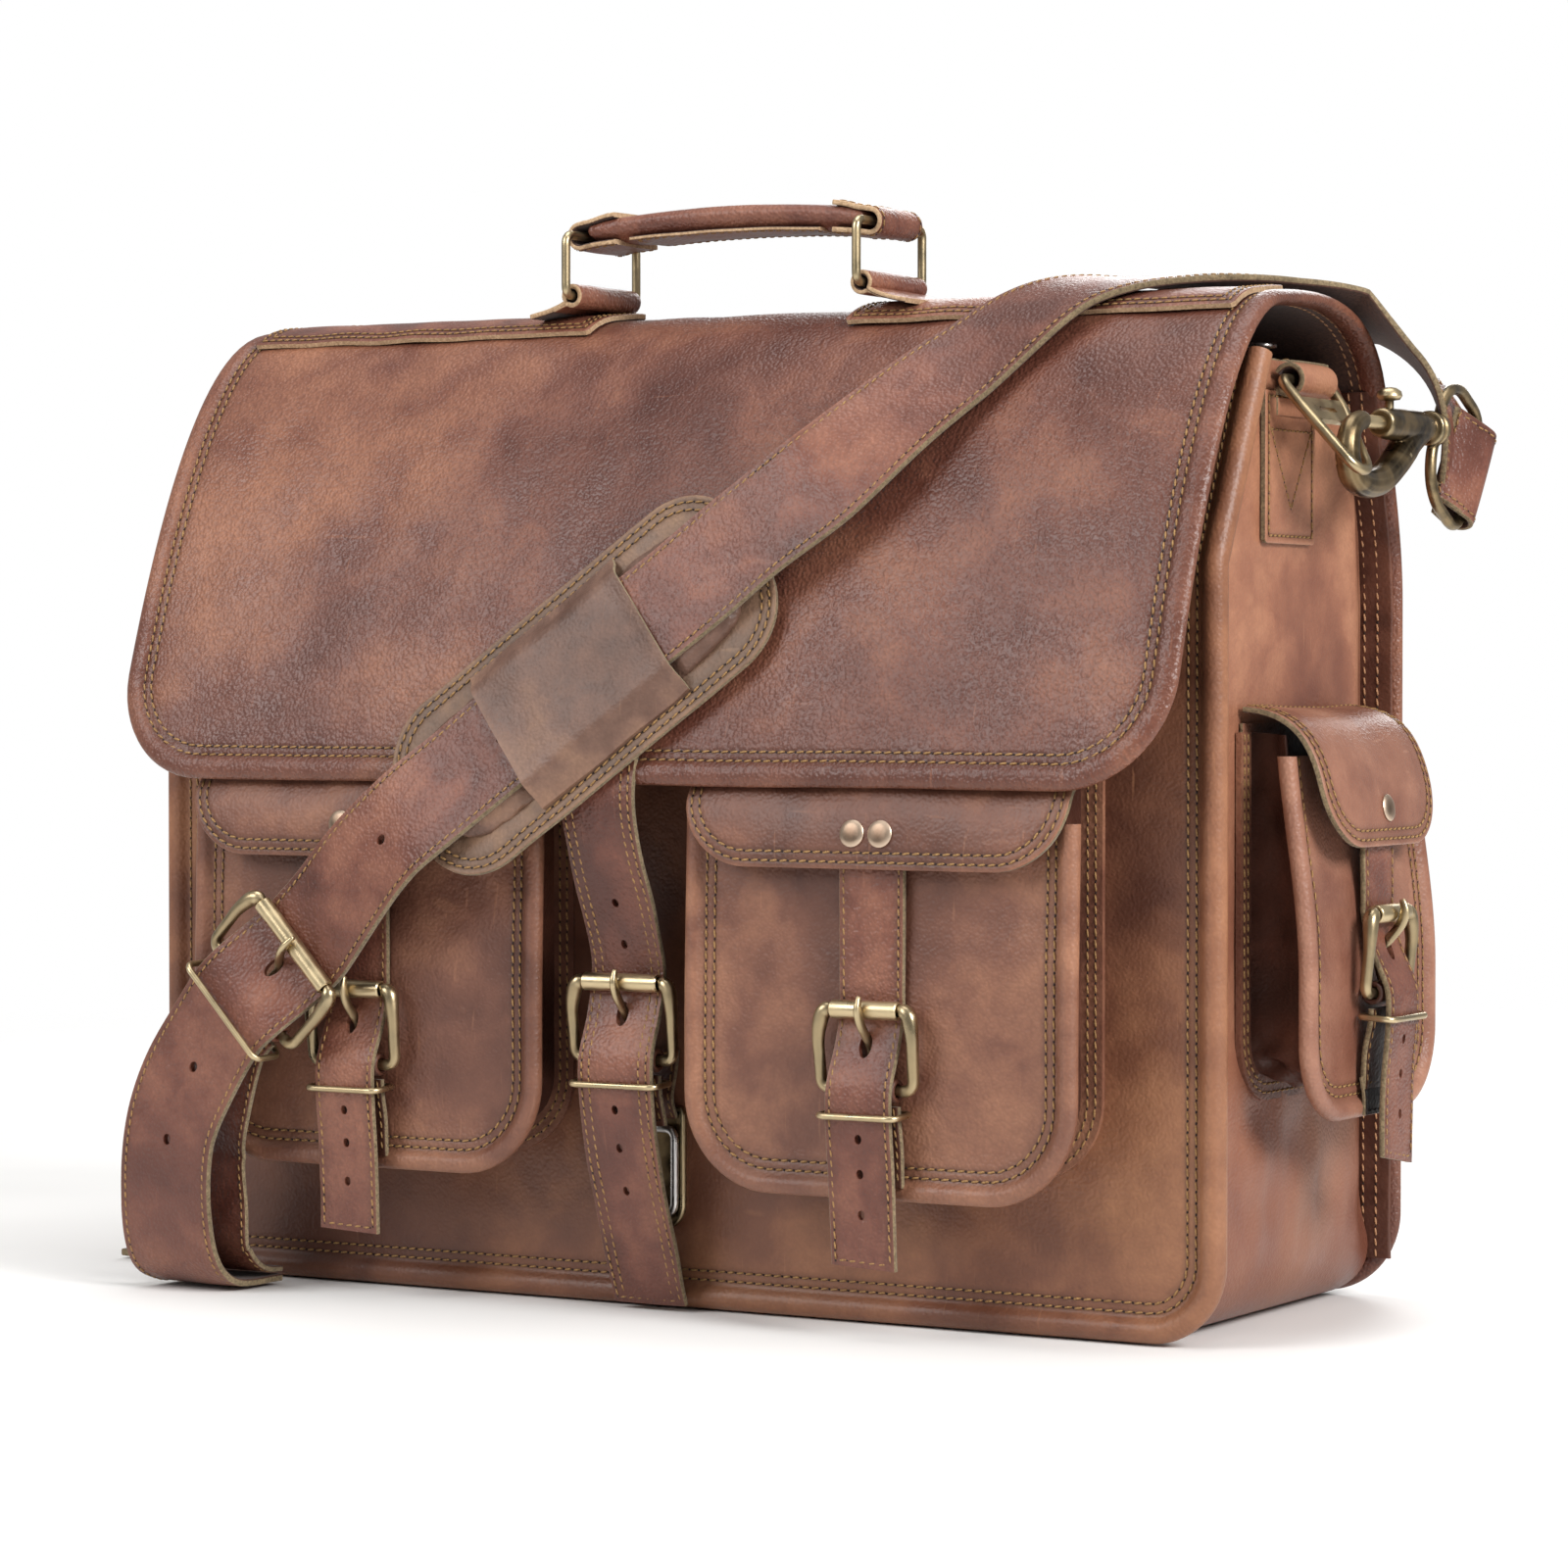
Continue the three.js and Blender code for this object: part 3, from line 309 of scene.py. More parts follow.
def leather(name, dark, base, light, grain=1.0, rough=0.46, mottle=15.0, rim_wear_and_highlight=0.45,
            floor_shade_from=0.17, floor_shade_share=0.36):
    """Waxed, mottled leather with a pebble grain and fine scratches; its rims are lighter, partly from wear
    and partly as a painted highlight, and it has painted shade along stitch rows and towards the floor.
    """
    s = Shader(name)
    dark, base, light = linear(dark, base, light)
    big = s.noise(mottle, 3.0, 0.6)
    middle = s.noise(mottle * 4.5, 4.0, 0.3)
    fine = s.noise(mottle * 28, 2.0)
    pull = s.math("ADD", s.times(big, 0.62), s.times(middle, 0.38))
    colour = s.mix(s.spread(pull, 0.36, 0.52), dark, base)
    colour = s.mix(s.spread(pull, 0.5, 0.68), colour, light)
    colour = s.mix(s.spread(fine, 0.3, 0.75, 0.0, 0.22), colour, dark)
    down = s.spread(s.noise(30, 2.0, 0.2, stretch=(1, 24, 2)), 0.70, 0.76)
    along = s.spread(s.noise(26, 2.0, 0.4, stretch=(20, 2, 1.5)), 0.69, 0.75)
    colour = s.mix(s.times(s.math("MAXIMUM", down, along), 0.3), colour, light)
    # Rims lighter, partly from wear and partly as a painted highlight on the rolled edges.
    rim = s.times(s.attribute("rim"), s.spread(middle, 0.3, 0.7, 0.35, 1.0))
    colour = s.mix(s.times(rim, rim_wear_and_highlight), colour, light)
    # Painted shade along the stitch rows.
    colour = s.mix(s.times(s.attribute("seam"), 0.4), colour, SEAM_SHADE_COLOUR)
    pebble = s.cells(880)
    colour = s.mix(s.spread(pebble, 0.25, 0.6, 0.0, 0.16 * grain), colour, dark)
    # Painted shade: darker towards the floor, with a ragged edge from the big noise.
    height = s.add("ShaderNodeSeparateXYZ", {"Vector": s.place}).outputs["Z"]
    height = s.math("ADD", height, s.spread(big, 0.3, 0.7, -0.04, 0.04))
    colour = s.mix(s.spread(height, floor_shade_from, 0.03, 0.0, floor_shade_share), colour, dark)
    grains = s.math("ADD", s.times(pebble, -1.0), s.times(fine, 0.6))
    creases = s.spread(s.cells(160, "DISTANCE_TO_EDGE"), 0.0, 0.12)
    waves = s.math("ADD", middle, s.times(creases, 0.05))
    normal = s.bump(waves, 0.22, 0.0014, over=s.bump(grains, 0.5 * grain, 0.0006))
    shine = s.spread(middle, 0.25, 0.8, rough - 0.07, rough + 0.14)
    return s.finish(Base_Color=colour, Normal=normal, Roughness=shine, Specular_IOR_Level=0.42,
                    Coat_Weight=0.12, Coat_Roughness=0.3)


def raw_leather(name, dark, light):
    """Cut edges and the flesh side: matt fibres."""
    s = Shader(name)
    dark, light = linear(dark, light)
    fibres = s.noise(900, 4.0, 0.6)
    patches = s.spread(s.noise(60, 3.0), 0.45, 0.75, 0.0, 0.5)
    colour = s.mix(patches, s.mix(s.spread(fibres, 0.3, 0.7), dark, light), dark)
    return s.finish(Base_Color=colour, Roughness=0.9, Sheen_Weight=0.15, Normal=s.bump(fibres, 0.5, 0.0004))


def metal(name, base, dark, bright, rough=0.3, tarnish=1.0):
    """Antiqued plating: bright where it is rubbed, dark in the low places."""
    s = Shader(name)
    base, dark, bright = linear(base, dark, bright)
    cloud = s.noise(110, 4.0, 0.5)
    point = s.add("ShaderNodeNewGeometry").outputs["Pointiness"]
    colour = s.mix(s.spread(cloud, 0.36, 0.62), dark, base)
    colour = s.mix(s.spread(point, 0.505, 0.56), colour, bright)
    colour = s.mix(s.times(s.spread(point, 0.495, 0.44), 0.75 * tarnish), colour, dark)
    return s.finish(Base_Color=colour, Metallic=1.0, Normal=s.bump(s.noise(900, 2.0), 0.12, 0.0002),
                    Roughness=s.spread(cloud, 0.3, 0.7, rough - 0.08, rough + 0.16))


def thread(name, dark, light):
    """Waxed thread with a twist."""
    s = Shader(name)
    dark, light = linear(dark, light)
    ply = s.noise(1500, 2.0)
    return s.finish(Base_Color=s.mix(s.spread(ply, 0.3, 0.7), dark, light), Roughness=0.72,
                    Normal=s.bump(ply, 0.4, 0.0002))


def fabric(name, dark, light):
    """Plain woven lining and zip tape."""
    s = Shader(name)
    dark, light = linear(dark, light)
    weave = s.times(s.noise(500, 1.0, 0.0, (1, 6, 1)), s.noise(500, 1.0, 0.0, (6, 1, 6)))
    return s.finish(Base_Color=s.mix(s.spread(weave, 0.15, 0.35), dark, light), Roughness=0.95,
                    Normal=s.bump(weave, 0.5, 0.0004))


FLAP = leather("flap_leather_look", (76, 39, 30), (114, 69, 54), (156, 104, 78), 1.7, 0.38, mottle=9)
PANEL = leather("panel_leather_look", (84, 48, 34), (134, 86, 61), (178, 124, 88), 0.7, mottle=8)
# The gusset gets strong painted shade towards the floor.
SIDES = leather("gusset_leather_look", (112, 66, 50), (156, 103, 78), (188, 134, 102), 0.7, 0.45, mottle=9,
                floor_shade_from=0.24, floor_shade_share=0.75)
POCKET = leather("pocket_leather_look", (82, 48, 37), (126, 82, 64), (170, 119, 90), 0.9, mottle=10)
# A lighter copy of the pocket leather for the side pockets: painted light.
LIT_SIDE_POCKET = leather("lit_side_pocket_leather_look", (120, 76, 60), (158, 110, 88), (190, 142, 116), 0.9, 0.44,
                      mottle=10)
# A much darker copy of the leather for parts in recesses and under straps and buckles: painted shade.
SHADED_LEATHER = leather("shaded_leather_look", (52, 28, 21), (84, 48, 36), (122, 76, 56), 0.6, 0.42, mottle=12)
STRAP = leather("strap_leather_look", (82, 44, 34), (120, 72, 57), (156, 103, 80), 1.3, 0.4, mottle=16,
                rim_wear_and_highlight=0.25)
PAD = leather("pad_leather_look", (84, 58, 46), (116, 86, 72), (144, 110, 88), 0.9, 0.5, mottle=22)
FLANGE = leather("pad_flange_look", (96, 74, 58), (128, 98, 78), (156, 122, 94), 0.9, 0.55, mottle=24)
BLACK = leather("black_leather_look", (20, 18, 18), (38, 34, 34), (60, 54, 52), 0.8, 0.4)
SUEDE = raw_leather("flesh_side_look", (58, 34, 25), (92, 60, 45))
EDGE = raw_leather("cut_edge_look", (92, 78, 56), (150, 130, 98))
LIGHT_EDGE = raw_leather("light_cut_edge_look", (156, 124, 92), (212, 180, 142))
BRASS = metal("antique_brass_look", (132, 112, 82), (60, 49, 35), (202, 183, 146), 0.32)
NICKEL = metal("nickel_look", (190, 188, 186), (110, 106, 104), (235, 233, 230), 0.24, 0.6)
RIVET = metal("rivet_look", (150, 124, 104), (104, 80, 62), (206, 184, 162), 0.36, 0.5)
TAN_THREAD = thread("tan_thread_look", (120, 88, 50), (170, 132, 82))
BROWN_THREAD = thread("brown_thread_look", (150, 104, 70), (196, 150, 110))
BLACK_THREAD = thread("black_thread_look", (14, 12, 12), (40, 36, 36))
# Near-black look for the small lenses at the needle holes: painted shade in the holes.
NEEDLE_HOLE_SHADE = thread("needle_hole_shade_look", (26, 14, 9), (46, 26, 18))
LINING = fabric("lining_look", (26, 19, 15), (58, 45, 36))


# ---- meshes ---------------------------------------------------------------------------------

def settle(piece, body, slot, replaces=()):
    """Puts a finished piece on its body: a name rides on that body; for a pair of names with two points the
    piece's place is only baked into its mesh.
    """
    if isinstance(body, str):
        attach(piece, body)
    else:
        first, second, start, end = body
        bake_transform(piece)
    if replaces:
        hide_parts(*replaces)


def make(name, points, faces, materials, picks=None, layers=None, tidy=True, sharp=SHARP):
    """A mesh object from points in millimetres. Picks are the faces' materials, layers the points' values."""
    mesh = bpy.data.meshes.new(name)
    points = np.asarray(points, float).reshape(-1, 3) * MM
    mesh.from_pydata(points.tolist(), [], faces.tolist() if isinstance(faces, np.ndarray) else faces)
    for material in materials:
        mesh.materials.append(material)
    if picks is not None:
        mesh.polygons.foreach_set("material_index", np.asarray(picks, np.int32))
    for key, values in (layers or {}).items():
        layer = mesh.attributes.new(key, "FLOAT", "POINT")
        layer.data.foreach_set("value", np.asarray(values, np.float32).ravel())
    if tidy:
        work = bmesh.new()
        work.from_mesh(mesh)
        bmesh.ops.remove_doubles(work, verts=work.verts, dist=2e-6)
        bmesh.ops.dissolve_degenerate(work, dist=1e-6, edges=work.edges)
        bmesh.ops.recalc_face_normals(work, faces=work.faces)
        work.to_mesh(mesh)
        work.free()
    mesh.shade_smooth()
    mesh.set_sharp_from_angle(angle=math.radians(sharp))
    piece = bpy.data.objects.new(name, mesh)
    bpy.context.scene.collection.objects.link(piece)
    return piece


def bake(piece):
    """Applies a piece's modifiers."""
    bpy.context.view_layer.update()
    graph = bpy.context.evaluated_depsgraph_get()
    mesh = bpy.data.meshes.new_from_object(piece.evaluated_get(graph))
    piece.modifiers.clear()
    piece.data = mesh


def join(name, pieces):
    """One piece from several, which keeps their materials."""
    points, faces, picks, materials = [], [], [], []
    for piece in pieces:
        mesh = piece.data
        start = len(points)
        for material in mesh.materials:
            if material not in materials:
                materials.append(material)
        points += [vertex.co / MM for vertex in mesh.vertices]
        for face in mesh.polygons:
            faces.append([start + i for i in face.vertices])
            picks.append(materials.index(mesh.materials[face.material_index]))
        bpy.data.objects.remove(piece)
    return make(name, points, faces, materials, picks, tidy=False)


def grid(rows, columns, wrap=False, start=0):
    """Quads over a grid of points."""
    i = np.arange(rows - 1)[:, None]
    j = np.arange(columns if wrap else columns - 1)[None, :]
    k = (j + 1) % columns
    quads = np.stack([i * columns + j, i * columns + k, (i + 1) * columns + k, (i + 1) * columns + j], -1)
    return quads.reshape(-1, 4) + start


def loft(name, sections, materials, edge_columns=(), closed=False, layers=None, sharp=SHARP):
    """A closed skin over rings of points. Ring point j faces ring point -1 - j across the caps."""
    sections = np.asarray(sections, float)
    if closed:
        sections = np.concatenate([sections, sections[:1]])
    rows, ring = sections.shape[:2]
    quads = grid(rows, ring, wrap=True)
    picks = np.isin(quads[:, 0] % ring, edge_columns).astype(int) * (len(materials) - 1)
    if not closed:
        j = np.arange(ring // 2 - 1)
        cap = np.stack([j, j + 1, ring - 2 - j, ring - 1 - j], -1)
        quads = np.vstack([quads, cap, cap[:, ::-1] + (rows - 1) * ring])
        picks = np.r_[picks, np.full(2 * len(cap), len(materials) - 1)]
    return make(name, sections, quads, materials, picks, layers, sharp=sharp)


def rod(name, points, radius, material, closed=False, sides=14, flat=1.0, step=None, facing=None):
    """A round bar along a path. Its radius may vary, and flat below 1 squashes it."""
    points = np.asarray(points, float)
    radius = np.broadcast_to(np.asarray(radius, float), (len(points),))[:, None]
    if step:
        if closed:
            points, radius = np.vstack([points, points[:1]]), np.vstack([radius, radius[:1]])
        points, radius = even(points, step, radius)
        if closed:
            points, radius = points[:-1], radius[:-1]
    along = unit(np.roll(points, -1, 0) - np.roll(points, 1, 0)) if closed else directions(points)
    if facing is None:
        facing = np.linalg.svd(points - points.mean(0))[2][2]
        if np.abs(along @ facing).max() > 0.9:
            facing = np.cross(along[0], vec(0.31, 0.77, 0.55))
    across = unit(np.cross(along, unit(facing)))
    out = np.cross(across, along)
    cosine, sine = circle(sides)
    ring = (across[:, None] * cosine[:, None] + out[:, None] * sine[:, None] * flat) * radius[:, None]
    skin = points[:, None] + ring
    if closed:
        return loft(name, skin, [material], closed=True, sharp=70)
    rims, tips = [], []
    for end, away in ((0, -1), (-1, 1)):
        beyond = away * along[end] * radius[end]
        rims.append(points[end] + beyond * 0.35 + ring[end] * 0.72)
        tips.append(points[end] + beyond * 0.47)
    skin = np.concatenate([rims[:1], skin, rims[1:]])
    faces = grid(len(skin), sides, wrap=True).tolist()
    last = (len(skin) - 1) * sides
    for j in range(sides):
        k = (j + 1) % sides
        faces += [[k, j, last + sides], [last + j, last + k, last + sides + 1]]
    return make(name, np.vstack([skin.reshape(-1, 3), tips]), faces, [material], sharp=70)


def turned(name, profile, origin, axis, material, sides=32):
    """A shape of revolution. Profile holds (radius, along the axis) and starts and ends on the axis
    or closes on itself."""
    axis = unit(axis)
    side = unit(np.cross(axis, vec(0.36, 0.48, 0.8)))
    other = np.cross(axis, side)
    cosine, sine = circle(sides)
    around = side * cosine[:, None] + other * sine[:, None]
    profile = np.asarray(profile, float)
    if profile[0][0] > 0:
        profile = np.vstack([profile, profile[:1]])
    points = origin + profile[:, 0, None, None] * around + profile[:, 1, None, None] * axis
    return make(name, points, grid(len(profile), sides, wrap=True), [material], sharp=40)


def ring_profile(inner, outer, half, bevel):
    """Profile of a tube with softened rims."""
    return [(inner, bevel - half), (inner + bevel, -half), (outer - bevel, -half), (outer, bevel - half),
            (outer, half - bevel), (outer - bevel, half), (inner + bevel, half), (inner, half - bevel)]


# ---- stitching ------------------------------------------------------------------------------

def grain_shape():
    """A plump grain of thread along X, one unit long and wide, rising in the middle."""
    stations, sides = (-0.32, 0.0, 0.32), 6
    points = [(-0.5, 0.0, -0.25)]
    for x in stations:
        size = 0.5 * math.sqrt(1 - (x / 0.5) ** 2)
        points += [(x, size * c, size * s) for c, s in zip(*circle(sides))]
    points.append((0.5, 0.0, -0.25))
    last = 1 + (len(stations) - 1) * sides
    faces = []
    for j in range(sides):
        k = (j + 1) % sides
        faces += [[0, 1 + k, 1 + j], [last + j, last + k, last + sides]]
        for a in range(1, last, sides):
            b = a + sides
            faces += [[a + j, a + k, b + k], [a + j, b + k, b + j]]
    return np.array(points), np.array(faces)


def hole_shade_shape():
    """A flat lens that sits in a needle hole; it gets the near-black look, painted shade in the hole."""
    sides = 6
    points = [(0, 0, 0.5), *((0.5 * c, 0.5 * s, 0) for c, s in zip(*circle(sides))), (0, 0, -0.5)]
    faces = []
    for j in range(sides):
        k = (j + 1) % sides
        faces += [[0, 1 + j, 1 + k], [sides + 1, 1 + k, 1 + j]]
    return np.array(points), np.array(faces)


class Stitching:
    """Rows of stitches that become one piece."""

    def __init__(self, pitch=STITCH_PITCH, width=THREAD):
        self.pitch, self.width = pitch, width
        self.grains, self.hole_shades = [], []

    def row(self, places, outward):
        pitch, width = self.pitch, self.width
        places, outward = even(places, pitch / 4, outward)
        run = run_of(places)
        count = max(1, int(run[-1] // pitch))
        centre = (np.arange(count) + 0.5) * run[-1] / count
        spots = at_run(centre, run, places)
        ahead = at_run(centre + 0.6, run, places) - at_run(centre - 0.6, run, places)
        out = unit(at_run(centre, run, outward))
        along = unit(ahead - (ahead * out).sum(1, keepdims=True) * out)
        side = np.cross(out, along)
        leaning = unit(along + 0.16 * side)
        self.add(self.grains, grain_shape(), spots + out * width * 0.25, leaning, np.cross(out, leaning), out,
                 (pitch * 0.84, width * 2, width * 1.7))
        # A near-black lens at each needle hole between stitches: painted shade in the hole.
        self.add(self.hole_shades, hole_shade_shape(), spots + along * pitch * 0.5, along, side, out,
                 (width * 2.3, width * 2.0, width * 0.7))

    def add(self, copies, shape, spots, x, y, z, size):
        points, faces = shape
        local = points * size
        turned_copies = (local[None, :, i, None] * axis[:, None] for i, axis in enumerate((x, y, z)))
        placed = spots[:, None] + sum(turned_copies)
        copies.append((placed.reshape(-1, 3), faces, len(spots), len(points)))

    def edges(self, surface, outline, rows, thick, side=1):
        """Rows along a sheet's edges, on its outside (side 1) or inside (side -1)."""
        for row in rows:
            places, outward = surface(*outline.inset(row))
            self.row(places + outward * side * (thick / 2 - STITCH_SINK), outward * side)

    def make(self, name, body, slot, material=TAN_THREAD):
        points, faces, picks = [], [], []
        start = 0
        for kind, group in enumerate((self.grains, self.hole_shades)):
            for placed, shape, copies, size in group:
                shift = (np.arange(copies) * size + start)[:, None, None]
                faces.append((shape[None] + shift).reshape(-1, 3))
                picks.append(np.full(len(faces[-1]), kind))
                points.append(placed)
                start += len(placed)
        # The second material paints shade in the needle holes.
        piece = make(name, np.vstack(points), np.vstack(faces), [material, NEEDLE_HOLE_SHADE],
                     np.concatenate(picks), tidy=False, sharp=180)
        settle(piece, body, slot)


# ---- sheets ---------------------------------------------------------------------------------

def graded(length, step, fine):
    """Positions from 0 to length that are close together near both ends."""
    fine = min(fine, length * 0.45)
    near = np.array([value for value in (0, 0.25, 0.7, 1.3, 2.1, *np.arange(3, fine, 1.0)) if value < fine])
    middle = np.linspace(fine, length - fine, max(2, int((length - 2 * fine) / step) + 1))
    return np.unique(np.round(np.r_[near, middle, length - near], 3))


class Outline:
    """The rounded rectangle |x| <= half, 0 <= s <= length. Corners are radii at s = 0 and s = length.
    An open top isn't an edge of the sheet that is rolled or stitched."""

    def __init__(self, half, length, corners=(0, 0), open_top=True):
        self.half, self.length, self.corners, self.open_top = half, length, corners, open_top

    def half_at(self, s):
        half = np.full(np.shape(s), float(self.half))
        for corner, depth in zip(self.corners, (s, self.length - s)):
            inside = np.clip(corner - depth, 0, corner)
            half = half - corner + np.sqrt(np.maximum(corner ** 2 - inside ** 2, 0))
        return half

    def distance(self, x, s):
        """How far a point is from the nearest edge."""
        x = np.abs(x)
        ends = [(self.corners[0], s)]
        if not self.open_top:
            ends.append((self.corners[1], self.length - s))
        near = np.minimum.reduce([self.half - x, *(depth for _, depth in ends)])
        for corner, depth in ends:
            a, b = x - (self.half - corner), corner - depth
            near = np.where((a > 0) & (b > 0), corner - np.hypot(np.maximum(a, 0), np.maximum(b, 0)), near)
        return np.maximum(near, 0)

    def inset(self, d, step=1.0):
        """The line d inside the edge, as x and s: a U for an open top, else a closed loop."""
        half, (low, high) = self.half - d, (max(corner - d, 0.5) for corner in self.corners)

        def arc(x_mid, s_mid, radius, start):
            angle = np.radians(np.linspace(start, start + 90, 12))
            return np.stack([x_mid + radius * np.cos(angle), s_mid + radius * np.sin(angle)], 1)
        right, left = arc(half - low, d + low, low, -90), arc(low - half, d + low, low, 180)
        if self.open_top:
            line = np.vstack([[(-half, self.length)], left, right, [(half, self.length)]])
        else:
            end = self.length - d - high
            top = arc(half - high, end, high, 0), arc(high - half, end, high, 90)
            line = np.vstack([left, right, *top, left[:1]])
        return even(line, step).T


def edge_height(d, thick, rim, square):
    """Half thickness of a sheet at distance d from its edge. Rim is the half width and half height
    of a rolled edge; square is the share of the thickness that a cut edge keeps."""
    half = thick / 2
    soft = np.sqrt(np.clip(1 - (1 - d / half) ** 2, 0, 1))
    height = half * np.where(d < half, square + (1 - square) * soft, 1)
    if rim:
        wide, high = rim
        roll = high * np.sqrt(np.clip(1 - ((d - wide) / wide) ** 2, 0, 1))
        height = np.maximum(np.where(d < wide, 0, half), roll)
    return height


def along_rows(d, rows, width):
    """1 on the rows of stitches and 0 away from them."""
    return sum((np.exp(-((d - row) / width) ** 2) for row in rows), np.zeros_like(d))


def sheet(name, surface, outline, body, slot, materials, thick, rim=None, rows=(), step=5.0,
          replaces=(), groove=0.35, fine=14.0):
    """A leather sheet over surface(x, s) -> (places, outward), which is its middle layer.
    Materials are for the outside, the inside and the cut edge."""
    bend = 1 - np.cos(np.linspace(0, math.pi / 2, 14))
    low, high = outline.corners
    ends = [low * bend] * (low > 0) + [outline.length - high * bend] * (high > 0)
    s = np.unique(np.round(np.concatenate([graded(outline.length, step, fine), *ends]), 2))
    s = s[np.r_[True, np.diff(s) > 0.12]]
    u = graded(2 * outline.half, step, fine) / outline.half - 1
    s_grid = np.repeat(s[:, None], len(u), 1)
    x_grid = u[None] * outline.half_at(s)[:, None]
    d = outline.distance(x_grid, s_grid)
    height = edge_height(d, thick, rim, 0.7)
    places, outward = surface(x_grid, s_grid)
    outer = places + outward * (height - groove * along_rows(d, rows, 0.8))[..., None]
    inner = places - outward * height[..., None]
    index = np.arange(d.size).reshape(d.shape)
    border = np.concatenate([index[0], index[1:, -1], index[-1, -2::-1], index[-2:0:-1, 0]])
    ahead = np.roll(border, -1)
    quads = [grid(*d.shape), grid(*d.shape, start=d.size)[:, ::-1],
             np.stack([border, border + d.size, ahead + d.size, ahead], 1)]
    picks = np.repeat([0, 1, 2], [len(part) for part in quads])
    if rim:
        faces = len(quads[0])
        rolled = d.ravel()[quads[0][:, 0]] < 2 * rim[0]
        picks[faces:2 * faces][rolled] = 2
    # Mask for painted shade along the stitch rows, on the outside only.
    seam = np.clip(along_rows(d, rows, 1.3), 0, 1)
    # Falloff from the edge for the lighter rim: wear and painted highlight.
    rim_wear_and_highlight = np.exp(-d / (2.2 if rim else 1.0))
    layers = {"rim": [rim_wear_and_highlight, rim_wear_and_highlight], "seam": [seam, seam * 0]}
    settle(make(name, [outer, inner], np.vstack(quads), materials, picks, layers), body, slot, replaces)


def sewn_sheet(name, part, surface, outline, body, slot, materials, thick, rows, more=(), pitch=STITCH_PITCH,
               **options):
    """A sheet with rows of stitches along its edges, and more rows given as (places, outward)."""
    sheet(name + part, surface, outline, body, slot, materials, thick, rows=rows, **options)
    stitches = Stitching(pitch)
    stitches.edges(surface, outline, rows, thick)
    for places, outward in more:
        stitches.row(places + outward * thick / 2, outward)
    stitches.make(name + "_stitches", body, slot)


# ---- straps ---------------------------------------------------------------------------------

def strap_path(stops, step=2.0):
    """Even stations along a strap from (place, outward) stops: places, along, across and outward."""
    places, facing = smooth_through([place for place, _ in stops], [outward for _, outward in stops])
    places, facing = even(places, step, facing)
    along = directions(places)
    across = unit(np.cross(facing, along))
    return places, along, across, np.cross(along, across)


def strap_section(half, thick, crown):
    """Ring of (across, height) around a strap: the outside from left to right, then the inside back."""
    spots = np.r_[-1, -0.93, -0.8, np.linspace(-0.6, 0.6, 7), 0.8, 0.93, 1] * (half - 0.35)
    top = thick / 2 + crown * (1 - (spots / half) ** 2)
    low = np.full(len(spots), -thick / 2)
    edge = thick * 0.3
    return np.array([(-half, edge), *zip(spots, top), (half, edge), (half, -edge), *zip(spots[::-1], low),
                     (-half, -edge)])


def holes_cut(piece, cutters):
    """Cuts the cutters out of a piece."""
    tool = join(piece.name + "_cutter", cutters)
    cut = piece.modifiers.new("holes", "BOOLEAN")
    cut.operation, cut.solver, cut.object = "DIFFERENCE", "EXACT", tool
    bake(piece)
    bpy.data.objects.remove(tool)
    piece.data.set_sharp_from_angle(angle=math.radians(SHARP))


def oval_cutter(station, long, wide, sides):
    """An oval that goes through a strap at a station: a place with along, across and outward."""
    place, along, across, outward = station
    cosine, sine = circle(sides)
    oval = place + along * cosine[:, None] * long + across * sine[:, None] * wide
    return loft("cutter", [oval - outward * 5, oval + outward * 6], [NEEDLE_HOLE_SHADE])


